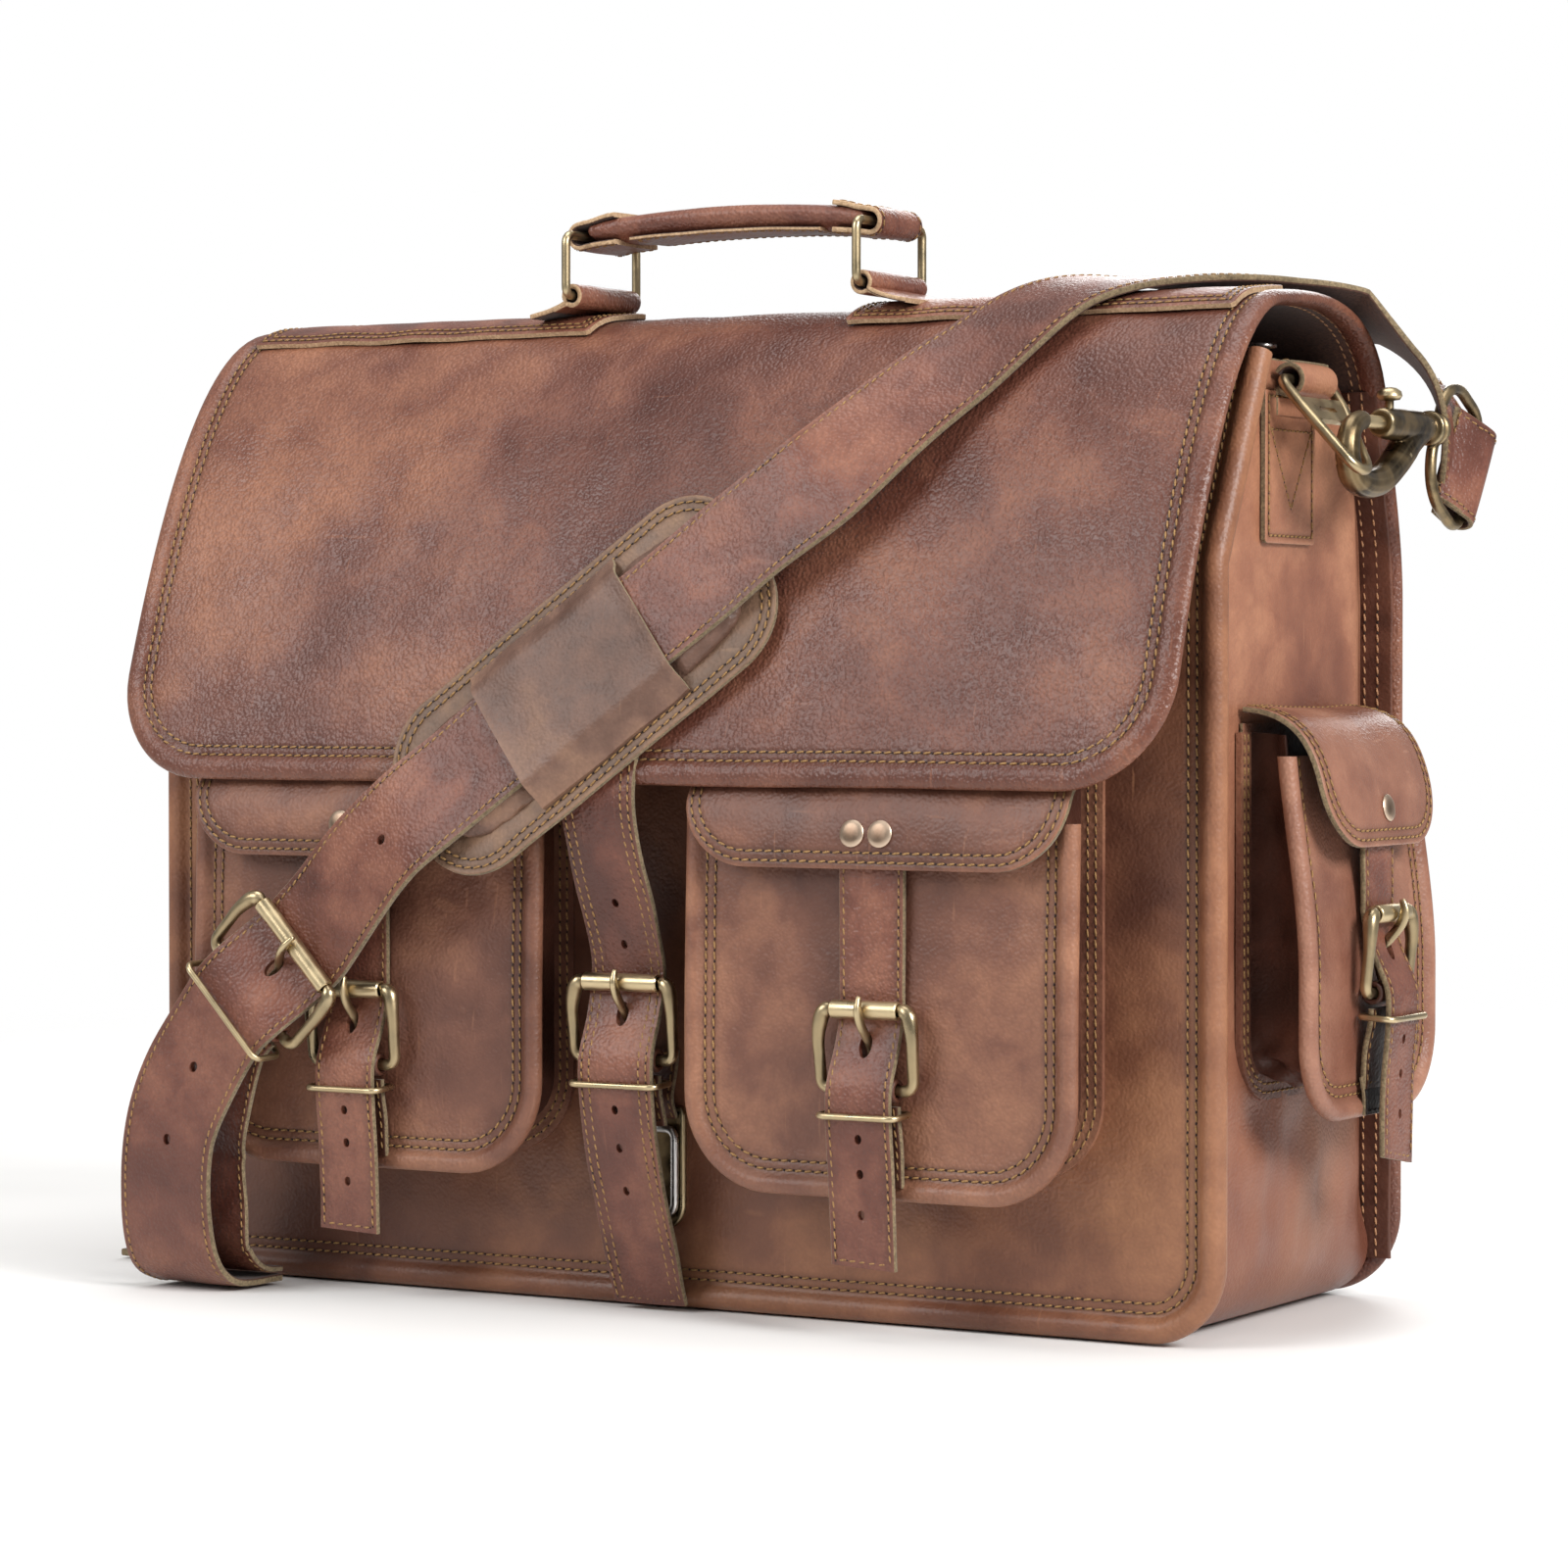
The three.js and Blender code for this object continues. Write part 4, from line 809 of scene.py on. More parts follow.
def strap(name, stops, half, body, slot="strap_leather", thick=BELT, stitches=(1.9,), holes=(), tongue=None,
          seed=1, material=STRAP, ends=(False, True), replaces=(), crown=0.25, thread_look=TAN_THREAD,
          step=2.0, hole_size=(1.7, 1.35), slant_end=0.0, ripple_high=0.3, edge=EDGE):
    """A stitched belt strap. Stitches are rows by their distance from the edge, holes are distances
    along the strap, tongue is the slot's two ends, and ends says which ends have a row of stitches."""
    stations = strap_path(stops, step)
    places, along, across, outward = stations
    run = run_of(places)
    section = strap_section(half, thick, crown)
    drift = ripple(run, run * 0, 90, seed) * 0.35
    width = 1 + ripple(run, run * 0, 40, seed + 5) * 0.012
    a = section[None, :, 0] * width[:, None] + drift[:, None]
    h = section[None, :, 1] + ripple(run[:, None], a, 34, seed + 9) * ripple_high * 0.5
    skin = places[:, None] + across[:, None] * a[..., None] + outward[:, None] * h[..., None]
    pull = fade(run, run[-1] - 6, run[-1])[:, None, None] * (section[None, :, 0, None] / half)
    skin = skin + along[:, None] * pull * slant_end
    from_edge = half - np.abs(section[:, 0])
    # Mask for painted shade along the stitch rows, on the strap's top face only.
    seam = np.max([np.exp(-((from_edge - row) / 1.2) ** 2) for row in stitches] or [from_edge * 0], axis=0)
    # Lighter strap edges: wear and painted highlight.
    layers = {"rim": np.exp(-from_edge / 1.6), "seam": seam * (section[:, 1] > 0)}
    layers = {key: np.tile(values, len(run)) for key, values in layers.items()}
    ring = len(section)
    middle = ring // 2
    edge_columns = (0, middle - 1, middle - 2, ring - 1, ring - 2)
    piece = loft(name, skin, [material, SUEDE, edge], edge_columns, layers=layers)
    paint_inside(piece, ring, len(run), middle)

    def station(distance):
        i = min(len(run) - 2, int(np.searchsorted(run, distance)))
        return [values[i] for values in stations]
    cutters = [oval_cutter(station(distance), *hole_size, 14) for distance in holes]
    if tongue is not None:
        cutters.append(oval_cutter(station(sum(tongue) / 2), (tongue[1] - tongue[0]) / 2, 2.4, 20))
    if cutters:
        holes_cut(piece, cutters)
    settle(piece, body, slot, replaces)
    if not stitches:
        return
    rows = Stitching(STRAP_PITCH, THREAD * 0.9)
    top = outward * (thick / 2 + crown * 0.3 - 0.05)
    for row in stitches:
        first, last = (int(round(row / step)) * end for end in ends)
        kept = slice(first, len(run) - last)
        for side in (-1, 1):
            offset = across * (side * (half - row) * width + drift)[:, None]
            rows.row((places + offset + top)[kept], outward[kept])
    reach = np.linspace(-1, 1, 8)[:, None] * (half - stitches[0] * 1.6)
    for wanted, i, slant in ((ends[0], 1, 0), (ends[1], len(run) - 2, slant_end)):
        if wanted:
            offset = across[i] * reach + along[i] * slant * reach / half
            rows.row(places[i] + top[i] + offset, np.tile(outward[i], (8, 1)))
    rows.make(name + "_stitches", body, slot, thread_look)


def paint_inside(piece, ring, rows, middle):
    """Gives the inside of a strap its own material; faces are in loft order."""
    picks = np.zeros(len(piece.data.polygons), np.int32)
    if len(picks) < (rows - 1) * ring:
        return
    piece.data.polygons.foreach_get("material_index", picks)
    column = np.arange((rows - 1) * ring) % ring
    inside = (column >= middle) & (column < ring - 2)
    picks[:len(column)][inside & (picks[:len(column)] == 0)] = 1
    piece.data.polygons.foreach_set("material_index", picks)


def wrapped(centre, radius, first, second, start, end, count):
    """Strap stops round a bar, from start to end in degrees turned from first towards second."""
    angles = np.radians(np.linspace(start, end, count))
    facing = [first * math.cos(angle) + second * math.sin(angle) for angle in angles]
    return [(centre + radius * out, out) for out in facing]


# ---- buckles --------------------------------------------------------------------------------

def tongue_rod(name, place):
    """The tongue: from the back bar under the strap, up through the slot and over the roller."""
    spots = (BACK_BAR, (2.6, -19), (2.4, -13.5), (6.2, -9), (10.4, -4), (12.0, 0.5), (11.2, 4.4))
    path, _ = smooth_through([place.at(0, out, up) for out, up in spots])
    size = np.interp(np.linspace(0, 1, len(path)), (0, 0.8, 1), (1.7, 1.9, 1.2))
    return rod(name, path, size, BRASS, step=0.9, flat=0.75, facing=place.across)


def buckle(prefix, place, half, body, suffix="", roller_body=None):
    """A roller buckle: a cast frame with square shoulders, its tongue and its roller.
    Without a roller body the roller is part of the cast."""
    out0, up0 = BACK_BAR
    wide = half + 4.6
    right = [(wide - 0.6, ROLLER_OUT, 0.4), (wide + 1.2, ROLLER_OUT + 0.4, -9), (wide + 0.6, out0, up0)]
    left = [(-across, out, up) for across, out, up in right[::-1]]
    path = place.ring(right + left, 3.4)
    path = even(np.vstack([path, path[:1]]), 0.9)[:-1]
    local_up = (path - place.origin) @ place.up
    local_across = np.abs((path - place.origin) @ place.across)
    shoulder = np.exp(-((local_up + 1.5) / 7) ** 2) * fade(local_across, half + 0.5, half + 3)
    size = np.where(local_across < half + 1.2, 1.8, 2.05) + 0.75 * shoulder
    frame_rod = rod("frame", path, size, BRASS, closed=True, sides=16, facing=place.out)
    pieces = [frame_rod, tongue_rod("tongue", place)]
    roller = turned(f"{prefix}_roller{suffix}_tube", ring_profile(2.0, ROLLER_RADIUS, half + 0.4, 0.45),
                    place.at(0, ROLLER_OUT, 0), place.across, BRASS)
    if roller_body:
        settle(roller, roller_body, "antique_brass", [f"{prefix}_roller{suffix}"])
    else:
        pieces.append(roller)
    settle(join(f"{prefix}_buckle{suffix}_cast", pieces), body, "antique_brass", [f"{prefix}_buckle{suffix}"])


def keeper(prefix, place, half, body, suffix="", front=14.0):
    """The bent wire that holds the strap's end."""
    wide, back = half + 2.6, 1.4
    path = place.ring([(-wide, back, KEEPER_UP), (wide, back, KEEPER_UP), (wide, front, KEEPER_UP - 0.8),
                       (-wide, front, KEEPER_UP - 0.8)], 3.2)
    wire = rod(f"{prefix}_keeper{suffix}_wire", path, 1.15, BRASS, closed=True, sides=12, step=0.9)
    settle(wire, body, "antique_brass", [f"{prefix}_keeper{suffix}"])


def chape(prefix, place, half, body, tail, suffix="", material=STRAP, more=()):
    """The short strap folded round the back bar."""
    out0, up0 = BACK_BAR
    stops = place.stops([(4.6, up0 - 5.4), (4.4, up0 - 10), *tail]) + list(more)
    strap(f"{prefix}_chape{suffix}_leaf", stops, half, body, material=material,
          replaces=[f"{prefix}_chape{suffix}"], stitches=(1.8,), seed=7)
    loop = turned(f"{prefix}_chape{suffix}_loop", ring_profile(2.3, 4.1, half, 0.5), place.at(0, out0, up0),
                  place.across, material)
    corners = np.array([(-2.6, -8), (2.6, -8), (2.6, 8), (-2.6, 8)])
    slot = [place.at(corners[:, 0], out0 + out, up0 + 0.5 + corners[:, 1]) for out in (-12, 12)]
    holes_cut(loop, [loft("slot", slot, [NEEDLE_HOLE_SHADE])])
    settle(loop, body, "strap_leather")


# ---- body -----------------------------------------------------------------------------------

HINGE = pivot("main_flap_open")
FLAP_LOW, FLAP_HIGH = node_box("main_flap")
FLAP_HALF = FLAP_HIGH[0]
FLAP_THICK = 3.3
FLAP_CORNER, BACK_CORNER = 40.0, 30.0
BACK_Y = node_box("back_panel")[1][1] - 0.3
FRONT_LOW, FRONT_HIGH = node_box("front_panel")
GUSSET_LOW, GUSSET_HIGH = node_box("gusset")
FRONT_Y = GUSSET_LOW[1] - LEATHER - 0.3
LEAN_START = 262.0                                # above this height the front leans back
LEAN = 34.0 / (GUSSET_HIGH[2] - LEAN_START)


def shell_profile():
    """The outer face of the flap and the back as (y, z), from the flap's front edge over the hinge."""
    front_edge = vec(FLAP_LOW[1], FLAP_LOW[2] + 0.9)
    crest, back_top = vec(-22, 355.5), vec(BACK_Y, 250)
    hinge = HINGE[1:]
    front = bezier(front_edge, front_edge + (14, 53), crest + (-50, -3.5), crest)
    top = bezier(crest, crest + (28, 2), (58, 362), hinge + (0, 0.5))
    fold = bezier(hinge, (71, 297), back_top + (0, 26), back_top)
    down = np.linspace(back_top, (BACK_Y, 0.8), 60)
    return even(np.vstack([front, top[1:], fold[1:], down[1:]]), 1.0)


SHELL_LINE = shell_profile()
SHELL_RUN = run_of(SHELL_LINE)
SHELL_TURN = directions(SHELL_LINE)


def on_flap(x, s, offset=0.0):
    """Places and outward directions on the shell, s up from the flap's front edge."""
    x, s = np.broadcast_arrays(np.asarray(x, float), np.asarray(s, float))
    y, z = np.moveaxis(at_run(s, SHELL_RUN, SHELL_LINE), -1, 0)
    turn_y, turn_z = np.moveaxis(at_run(s, SHELL_RUN, SHELL_TURN), -1, 0)
    outward = unit(np.stack([np.zeros_like(y), -turn_z, turn_y], -1))
    return np.stack([x, y, z], -1) + outward * np.asarray(offset, float)[..., None], outward


def shell_surface(x, s):
    """The middle of the shell's leather, with the waves of hand-cut leather."""
    wave = 0.55 * ripple(x, s, 120, 3) + 0.22 * ripple(x, s, 45, 4)
    return on_flap(x, s, -FLAP_THICK / 2 + wave * fade(FLAP_HALF - np.abs(x), 0, 25))


def shell():
    """Main flap and back panel, one piece of leather that folds at the top of the back."""
    outline = Outline(FLAP_HALF, SHELL_RUN[-1], (FLAP_CORNER, BACK_CORNER), open_top=False)
    rows = (8.8, 12.0)
    blend = ("body", "flap", vec(0, 74, 300), vec(0, 50, 300))
    sewn_sheet("flap_and_back", "", shell_surface, outline, blend, "flap_leather", (FLAP, SUEDE, FLAP),
               FLAP_THICK, rows, rim=(4.8, 2.8), replaces=["main_flap", "back_panel"])
    under = Stitching()
    under.edges(shell_surface, outline, rows, FLAP_THICK, side=-1)
    under.make("flap_and_back_under_stitches", blend, "flap_leather", BROWN_THREAD)


def front_surface(x, s):
    """Middle of the front panel. It bulges a little where the bag is full."""
    z = FRONT_LOW[2] + s
    full = 2.0 * np.cos(x / FRONT_HIGH[0] * math.pi / 2) * np.sin(np.clip(z / 300, 0, 1) * math.pi)
    wave = 0.5 * ripple(x, z, 110, 11) + 0.2 * ripple(x, z, 40, 12)
    flat = fade(FRONT_HIGH[0] - np.abs(x), 4, 40) * fade(s, 4, 35)
    lean = np.maximum(z - LEAN_START, 0) * LEAN
    y = FRONT_Y + LEATHER / 2 + lean - (full + wave) * flat * 0.6
    outward = unit(np.stack([0 * x, -np.ones_like(x), np.where(z > LEAN_START, LEAN, 0.0)], -1))
    return np.stack([x, y, z], -1), outward


def front_panel():
    """The front of the bag, behind the flap and the pockets."""
    outline = Outline(FRONT_HIGH[0], FRONT_HIGH[2] - FRONT_LOW[2], (28, 0))
    sewn_sheet("front_panel", "_leather", front_surface, outline, "body", "body_leather",
               (PANEL, SUEDE, PANEL), LEATHER, (10.4, 13.6), rim=(4.4, 4.5), fine=16.0,
               replaces=["front_panel"])


def gusset_path():
    """The gusset's strip seen from the front, as (x, z) and outward directions, from right to left."""
    half, corner, top = GUSSET_HIGH[0], 24.0, GUSSET_HIGH[2]
    angle = np.linspace(0, -math.pi / 2, 16)
    arc = np.stack([half - corner + corner * np.cos(angle), corner + corner * np.sin(angle)], 1)
    right = np.vstack([[(half, top)], arc, [(0, 0)]])
    line = even(np.vstack([right, (right * (-1, 1))[-2::-1]]), 3.0)
    ahead = directions(line)
    return line, np.stack([-ahead[:, 1], ahead[:, 0]], 1)


def gusset():
    """Sides and bottom in one strip, pinched in along the back seam and wrinkled near the bottom."""
    line, outward = gusset_path()
    columns = 34
    share = np.linspace(0, 1, columns)
    swell = np.sin(share * math.pi)
    z = line[:, 1:]
    front = FRONT_Y + 3.3 + np.maximum(z - LEAN_START, 0) * LEAN
    back = np.interp(z, (0, 250, 285, HINGE[2], GUSSET_HIGH[2]), (74.5, 74.5, 71.5, 62.5, 48))
    y = front + (back - front) * share
    upright = fade(z, 6, 40)
    low = 1 - fade(z, 50, 120)
    run = run_of(line)[:, None]
    pinch = -6.0 * fade(y, back - 17, back - 4)
    hollow = -1.8 * (1 - fade(y, front, front + 12))
    folds = 0.9 * ripple(run, y, 42, 21) * (0.35 + low) + 1.2 * ripple(run * 0.35, y * 2.2, 40, 22) * low
    push = (pinch + hollow + 2.6 * swell * low + folds * swell) * upright

    def layer(depth):
        moved = line[:, None] + outward[:, None] * depth[..., None]
        return np.stack([moved[..., 0], y, moved[..., 1]], -1)
    skin = np.concatenate([layer(push), layer(push - LEATHER)[:, ::-1]], 1)
    # Painted shade along the gusset's pinched back seam.
    seam = np.zeros(skin.shape[:2])
    seam[:, columns - 3:columns] = 0.8
    piece = loft("gusset_leather", skin, [SIDES], layers={"rim": seam * 0, "seam": seam}, sharp=60)
    settle(piece, "body", "body_leather", ["gusset"])


def back_flange():
    """Where the gusset is turned out and sewn to the back with two rows of stitches."""
    stitches = Stitching()
    z = np.linspace(14, 326, 105)
    back = SHELL_LINE[SHELL_LINE[:, 0] > HINGE[1] - 0.6]
    back = back[np.argsort(back[:, 1])]
    inner_face = np.interp(z, back[:, 1], back[:, 0]) - FLAP_THICK
    for side, sign in RIGHT_AND_LEFT:
        places = np.stack([np.full_like(z, sign * (FLAP_HALF - 10.5)), inner_face - 1.0, z], 1)
        stops = [(place, -Y_AXIS) for place in places[::8]]
        # The flange wears the dark, painted-shade copy of the leather.
        strap(f"gusset_flange_{side}", stops, 8.0, "body", "body_leather", thick=1.8, stitches=(),
              material=SHADED_LEATHER, edge=SHADED_LEATHER, seed=31, ends=(False, False), step=3.0)
        for shift in (-2.6, 2.4):
            stitches.row(places + vec(sign * shift, -1.05, 0), np.tile(-Y_AXIS, (len(z), 1)))
    stitches.make("gusset_flange_stitches", "body", "body_leather", BROWN_THREAD)


def divider():
    """The padded wall between the main compartment and the laptop sleeve."""
    low, high = node_box("laptop_divider")
    outline = Outline(high[0], high[2] - low[2], (24, 8), open_top=False)
    place = Place(vec(0, (low[1] + high[1]) / 2, low[2]), X_AXIS, -Y_AXIS)

    def surface(x, s):
        return place.flat(x, 0.24 * np.cos(x / 33 * math.pi) * np.cos(s / 33 * math.pi), s)
    sheet("laptop_divider_pad", surface, outline, "body", "lining", (LINING, LINING, LINING), 3.6,
          rim=(2.0, 1.9), replaces=["laptop_divider"], step=8.0)


ZIP_Y = 4.0              # where the zip's teeth meet


def zip_row():
    """Zip tapes under leather welts, and the teeth."""
    low, high = node_box("zip_panel")
    top = low[2] + 1.6
    for side, sign, edge in (("front", -1, low[1]), ("back", 1, high[1])):
        # The welts wear the dark, painted-shade copy of the leather.
        welt = ("welt", ZIP_Y + sign * 7, edge, SHADED_LEATHER, 0.8, (2.0,))
        tape = ("tape", ZIP_Y + sign * 1.2, ZIP_Y + sign * 8, LINING, 1.3, ())
        for part, near, far, look, drop, rows in (welt, tape):
            stops = [(vec(x, (near + far) / 2, top - drop), Z_AXIS) for x in np.linspace(low[0], high[0], 9)]
            strap(f"zip_{part}_{side}", stops, abs(far - near) / 2, "body", "body_leather", thick=1.4,
                  stitches=rows, material=look, ends=(False, False), step=8.0, ripple_high=0.1,
                  replaces=["zip_panel"] if (part, side) == ("welt", "front") else ())
    teeth = []
    for i, x in enumerate(np.arange(low[0] + 10, high[0] - 10, 3.2)):
        middle = vec(x, ZIP_Y + (0.7 if i % 2 else -0.7), top + 0.9)
        for up, share in ((-0.9, 1.0), (0.9, 0.72)):
            long, wide = 0.95 * share, 1.9 * share
            teeth += [middle + (a * long, b * wide, up) for a, b in ((-1, 1), (1, 1), (1, -1), (-1, -1))]
    quads = np.array([[0, 1, 2, 3], [7, 6, 5, 4], [0, 4, 5, 1], [1, 5, 6, 2], [2, 6, 7, 3], [3, 7, 4, 0]])
    faces = np.concatenate([quads + first for first in range(0, len(teeth), 8)])
    settle(make("zip_teeth", teeth, faces, [NICKEL]), "body", "nickel")
    zip_slider(top)


def zip_slider(top):
    """The slider: a rounded body, a bridge on it and a wire pull through the bridge."""
    place = Place(vec(node_box("zip_slider")[0][0] + 6, ZIP_Y, top), X_AXIS, -Y_AXIS)
    spine = [place.at(across, 0, 3.4) for across in (-6, -3, 0, 3, 6)]
    body = rod("body", spine, [2.6, 3.4, 3.7, 3.4, 2.6], NICKEL, flat=0.5, step=1.0, facing=Z_AXIS, sides=16)
    arch = [place.at(across, 0, up) for across, up in ((-4, 3.6), (-3, 6), (3, 6), (4, 3.6))]
    bridge = rod("bridge", rounded(arch, 1.5, closed=False), 0.9, NICKEL, step=0.6)
    wire = place.ring([(2, 0, 5.2), (23, 4.4, 4.4), (23, -4.4, 4.4)], 2.4)
    pull = rod("pull", wire, 0.8, NICKEL, closed=True, step=0.8)
    settle(join("zip_slider_cast", [body, bridge, pull]), "zip_slider", "nickel", ["zip_slider"])


# ---- pockets --------------------------------------------------------------------------------

FLANGE_INSET = 6.0


class Pocket:
    """Sizes of one pocket, read from its CAD nodes, in the pocket's own frame."""

    def __init__(self, kind, side, sign):
        low, high = node_box(f"{kind}_pocket_{side}")
        middle = (low + high) / 2
        self.kind, self.side = kind, side
        self.flap_body = f"{kind}_flap_{side}"
        self.hinge_up = pivot(f"{kind}_flap_{side}_open")[2]
        self.flap_bottom = node_box(f"{kind}_pocket_flap_{side}")[0][2] + 0.4
        if kind == "front":
            self.place = Place(vec(middle[0], high[1], 0), X_AXIS, -Y_AXIS)
            self.depth, self.half = high[1] - low[1], (high[0] - low[0]) / 2
            self.corner, self.flap_corner, self.flap_half = 34.0, 26.0, 74.0
            self.open_by, self.ear, self.lean, self.wall_up = 14.0, 9.0, 2.0, 8.0
            self.roller_up, self.strap_top, self.tail = 112.0, 171.0, ((9, -56), (7.5, -87))
            self.rivets, self.hide = ((-5.4, 171), (5.4, 171)), POCKET
            self.seam_out = float(high[1] - pivot(f"front_flap_{side}_open")[1])
            self.flap_bend = ((self.depth + 6, self.hinge_up - 5), (self.depth - 4, self.hinge_up - 2.5))
        else:
            wall = high[0] if sign < 0 else low[0]
            self.place = Place(vec(wall, middle[1], 0), Y_AXIS * sign, X_AXIS * sign)
            self.depth, self.half = high[0] - low[0], (high[1] - low[1]) / 2
            self.corner, self.flap_corner, self.flap_half = 28.0, 24.0, 46.0
            self.open_by, self.ear, self.lean, self.wall_up = 8.0, 7.0, 9.0, 3.0
            self.roller_up, self.strap_top, self.tail = 143.0, 176.0, ((9.5, -56), (9, -85))
            # Side pockets wear the lighter, painted-light copy of the pocket leather.
            self.rivets, self.hide = ((0, 179),), LIT_SIDE_POCKET
            self.seam_out = 1.8
            self.flap_bend = ((self.depth + 4, self.hinge_up - 8), (self.depth - 8, self.hinge_up - 1))
        self.bottom, self.length = low[2], high[2] - self.open_by - low[2]
        self.wall_up += high[2]
        self.outline = Outline(self.half, self.length, (self.corner, 0))

    def depth_at(self, s):
        """How far out the face is; it leans back to its mouth."""
        return self.depth - self.lean * fade(s, self.length * 0.4, self.length * 1.15)

    def rise(self, s):
        """Share of the opening's height that the sides have at s."""
        return fade(s, self.length * 0.6, self.length)


def pocket_face(p):
    """The pocket's outer leather, full in the middle."""
    def surface(x, s):
        belly = 2.4 * np.cos(x / p.half * math.pi / 2) * np.sin(np.clip(s / p.length * 0.9, 0, 1) * math.pi)
        wave = 0.45 * ripple(x, s, 60, 41 + p.half) + 0.2 * ripple(x, s, 26, 43)
        calm = fade(p.outline.distance(x, s), 2, 20)
        return p.place.flat(x, p.depth_at(s) - POCKET_LEATHER / 2 + (belly - 2.2 + wave) * calm, p.bottom + s)
    sewn_sheet(f"{p.kind}_pocket_face_{p.side}", "", surface, p.outline, "body", "body_leather",
               (p.hide, SUEDE, p.hide), POCKET_LEATHER, (8.4, 11.6), rim=(3.6, 3.3), step=4.0,
               replaces=[f"{p.kind}_pocket_{p.side}"])


def pocket_band(name, p, inner, outer, look, thick, wrinkle=0.0):
    """A strip round the pocket's sides and bottom, from inner to outer as (inset, out).
    A strip whose outer edge has no out of its own runs up to the face."""
    line = p.outline.inset(0.01, step=2.0).T
    s = line[:, 1:]
    ahead = directions(line)
    outward = np.stack([ahead[:, 1], -ahead[:, 0]], 1)[:, None]
    share = np.linspace(0, 1, 14)[None]
    low_part = 1 - fade(s, 6, p.corner * 1.4)
    folds = 0.95 * ripple(run_of(line)[:, None], share * 22, 16, 51 + p.half) * (0.2 + 0.8 * low_part)
    pull = inner[0] + (outer[0] - inner[0]) * share + np.sin(share * math.pi) * wrinkle * (1 + folds)
    flat = outer[1] is not None
    ear = p.open_by if flat else p.ear
    rise = (p.open_by + (ear - p.open_by) * share) * p.rise(s)
    far = outer[1] if flat else p.depth_at(s + rise) - 3.0
    out = inner[1] + (far - inner[1]) * share

    def layer(shift):
        """Points of the strip, shift millimetres to its outer side."""
        places = line[:, None] - outward * (pull if flat else pull - shift)[..., None]
        return p.place.at(places[..., 0], out + shift * flat + 0 * pull, p.bottom + places[..., 1] + rise)
    skin = np.concatenate([layer(thick / 2), layer(-thick / 2)[:, ::-1]], 1)
    plain = np.zeros(skin.shape[:2])
    settle(loft(name, skin, [look], layers={"rim": plain, "seam": plain}, sharp=60), "body", "body_leather")


def pocket_sides(p):
    """The pocket's own gusset, and the flange that sews it to the bag."""
    # The pocket's gusset wears the dark, painted-shade copy of the leather.
    pocket_band(f"{p.kind}_pocket_gusset_{p.side}", p, (15.0, 1.6), (7.0, None), SHADED_LEATHER, 1.8, wrinkle=3.0)
    flange = f"{p.kind}_pocket_flange_{p.side}"
    pocket_band(flange, p, (17.0, 1.2), (FLANGE_INSET, 1.2), POCKET, 2.0)
    stitches = Stitching()
    for row in (2.6, 5.6):
        x, s = p.outline.inset(FLANGE_INSET + row)
        stitches.row(*p.place.flat(x, 2.2, p.bottom + s + p.open_by * p.rise(s)))
    stitches.make(flange + "_stitches", "body", "body_leather")


def pocket_back(p):
    """The pocket's inner wall, seen when its flap is up."""
    bottom = p.bottom + 6
    outline = Outline(p.half - 9, p.wall_up - bottom, (p.corner, 0))

    def surface(x, s):
        return p.place.flat(x, 0.9, bottom + s)
    sheet(f"{p.kind}_pocket_back_{p.side}", surface, outline, "body", "body_leather",
          (POCKET, SUEDE, EDGE), 1.4, step=12.0, fine=4.0)


def pocket_flap(p):
    """The pocket's flap: a soft curve from its seam out over the pocket's mouth."""
    line = even(bezier((p.depth + 7, p.flap_bottom), *p.flap_bend, (p.seam_out, p.hinge_up)), 1.0)
    run = run_of(line)
    ahead = directions(line)
    outline = Outline(p.flap_half, run[-1], (p.flap_corner, 0))
    thick = POCKET_FLAP_LEATHER

    def surface(x, s):
        out, up = np.moveaxis(at_run(s, run, line), -1, 0)
        turn_out, turn_up = np.moveaxis(at_run(s, run, ahead), -1, 0)
        outward = unit(p.place.turn(0, turn_up, -turn_out))
        wave = 0.5 * ripple(x, s, 50, 61 + p.half) * fade(s, 0, 12)
        dip = -1.4 * (np.abs(x) / p.flap_half) ** 3 * (1 - fade(s, run[-1] * 0.5, run[-1]))
        return p.place.at(x, out, up) + outward * (-thick / 2 + wave + dip)[..., None], outward
    name = f"{p.kind}_pocket_flap_{p.side}"
    x = np.linspace(-p.flap_half + 3, p.flap_half - 3, 40)
    along_seam = surface(x, np.full_like(x, run[-1] - 3))
    sewn_sheet(name, "_leather", surface, outline, p.flap_body, "flap_leather", (p.hide, SUEDE, EDGE), thick,
               (2.4, 5.6), more=[along_seam], step=3.0, replaces=[name], groove=0.25)
    for i, (across, up) in enumerate(p.rivets):
        spot, out = surface(vec(across), run[[np.argmin(np.abs(line[:, 1] - up))]])
        rivet(f"{name}_rivet_{i + 1}", spot[0] + out[0] * thick / 2, out[0], p.flap_body)


def rivet(name, spot, out, body):
    """A domed rivet head."""
    dome = [(0, -1.2), (3.76, -1.2), (4.56, 0.15), (4.7, 0.45), (4.37, 0.85), (2.82, 1.3), (1.18, 1.5),
            (0, 1.52)]
    settle(turned(name, dome, spot, out, RIVET), body, "antique_brass")


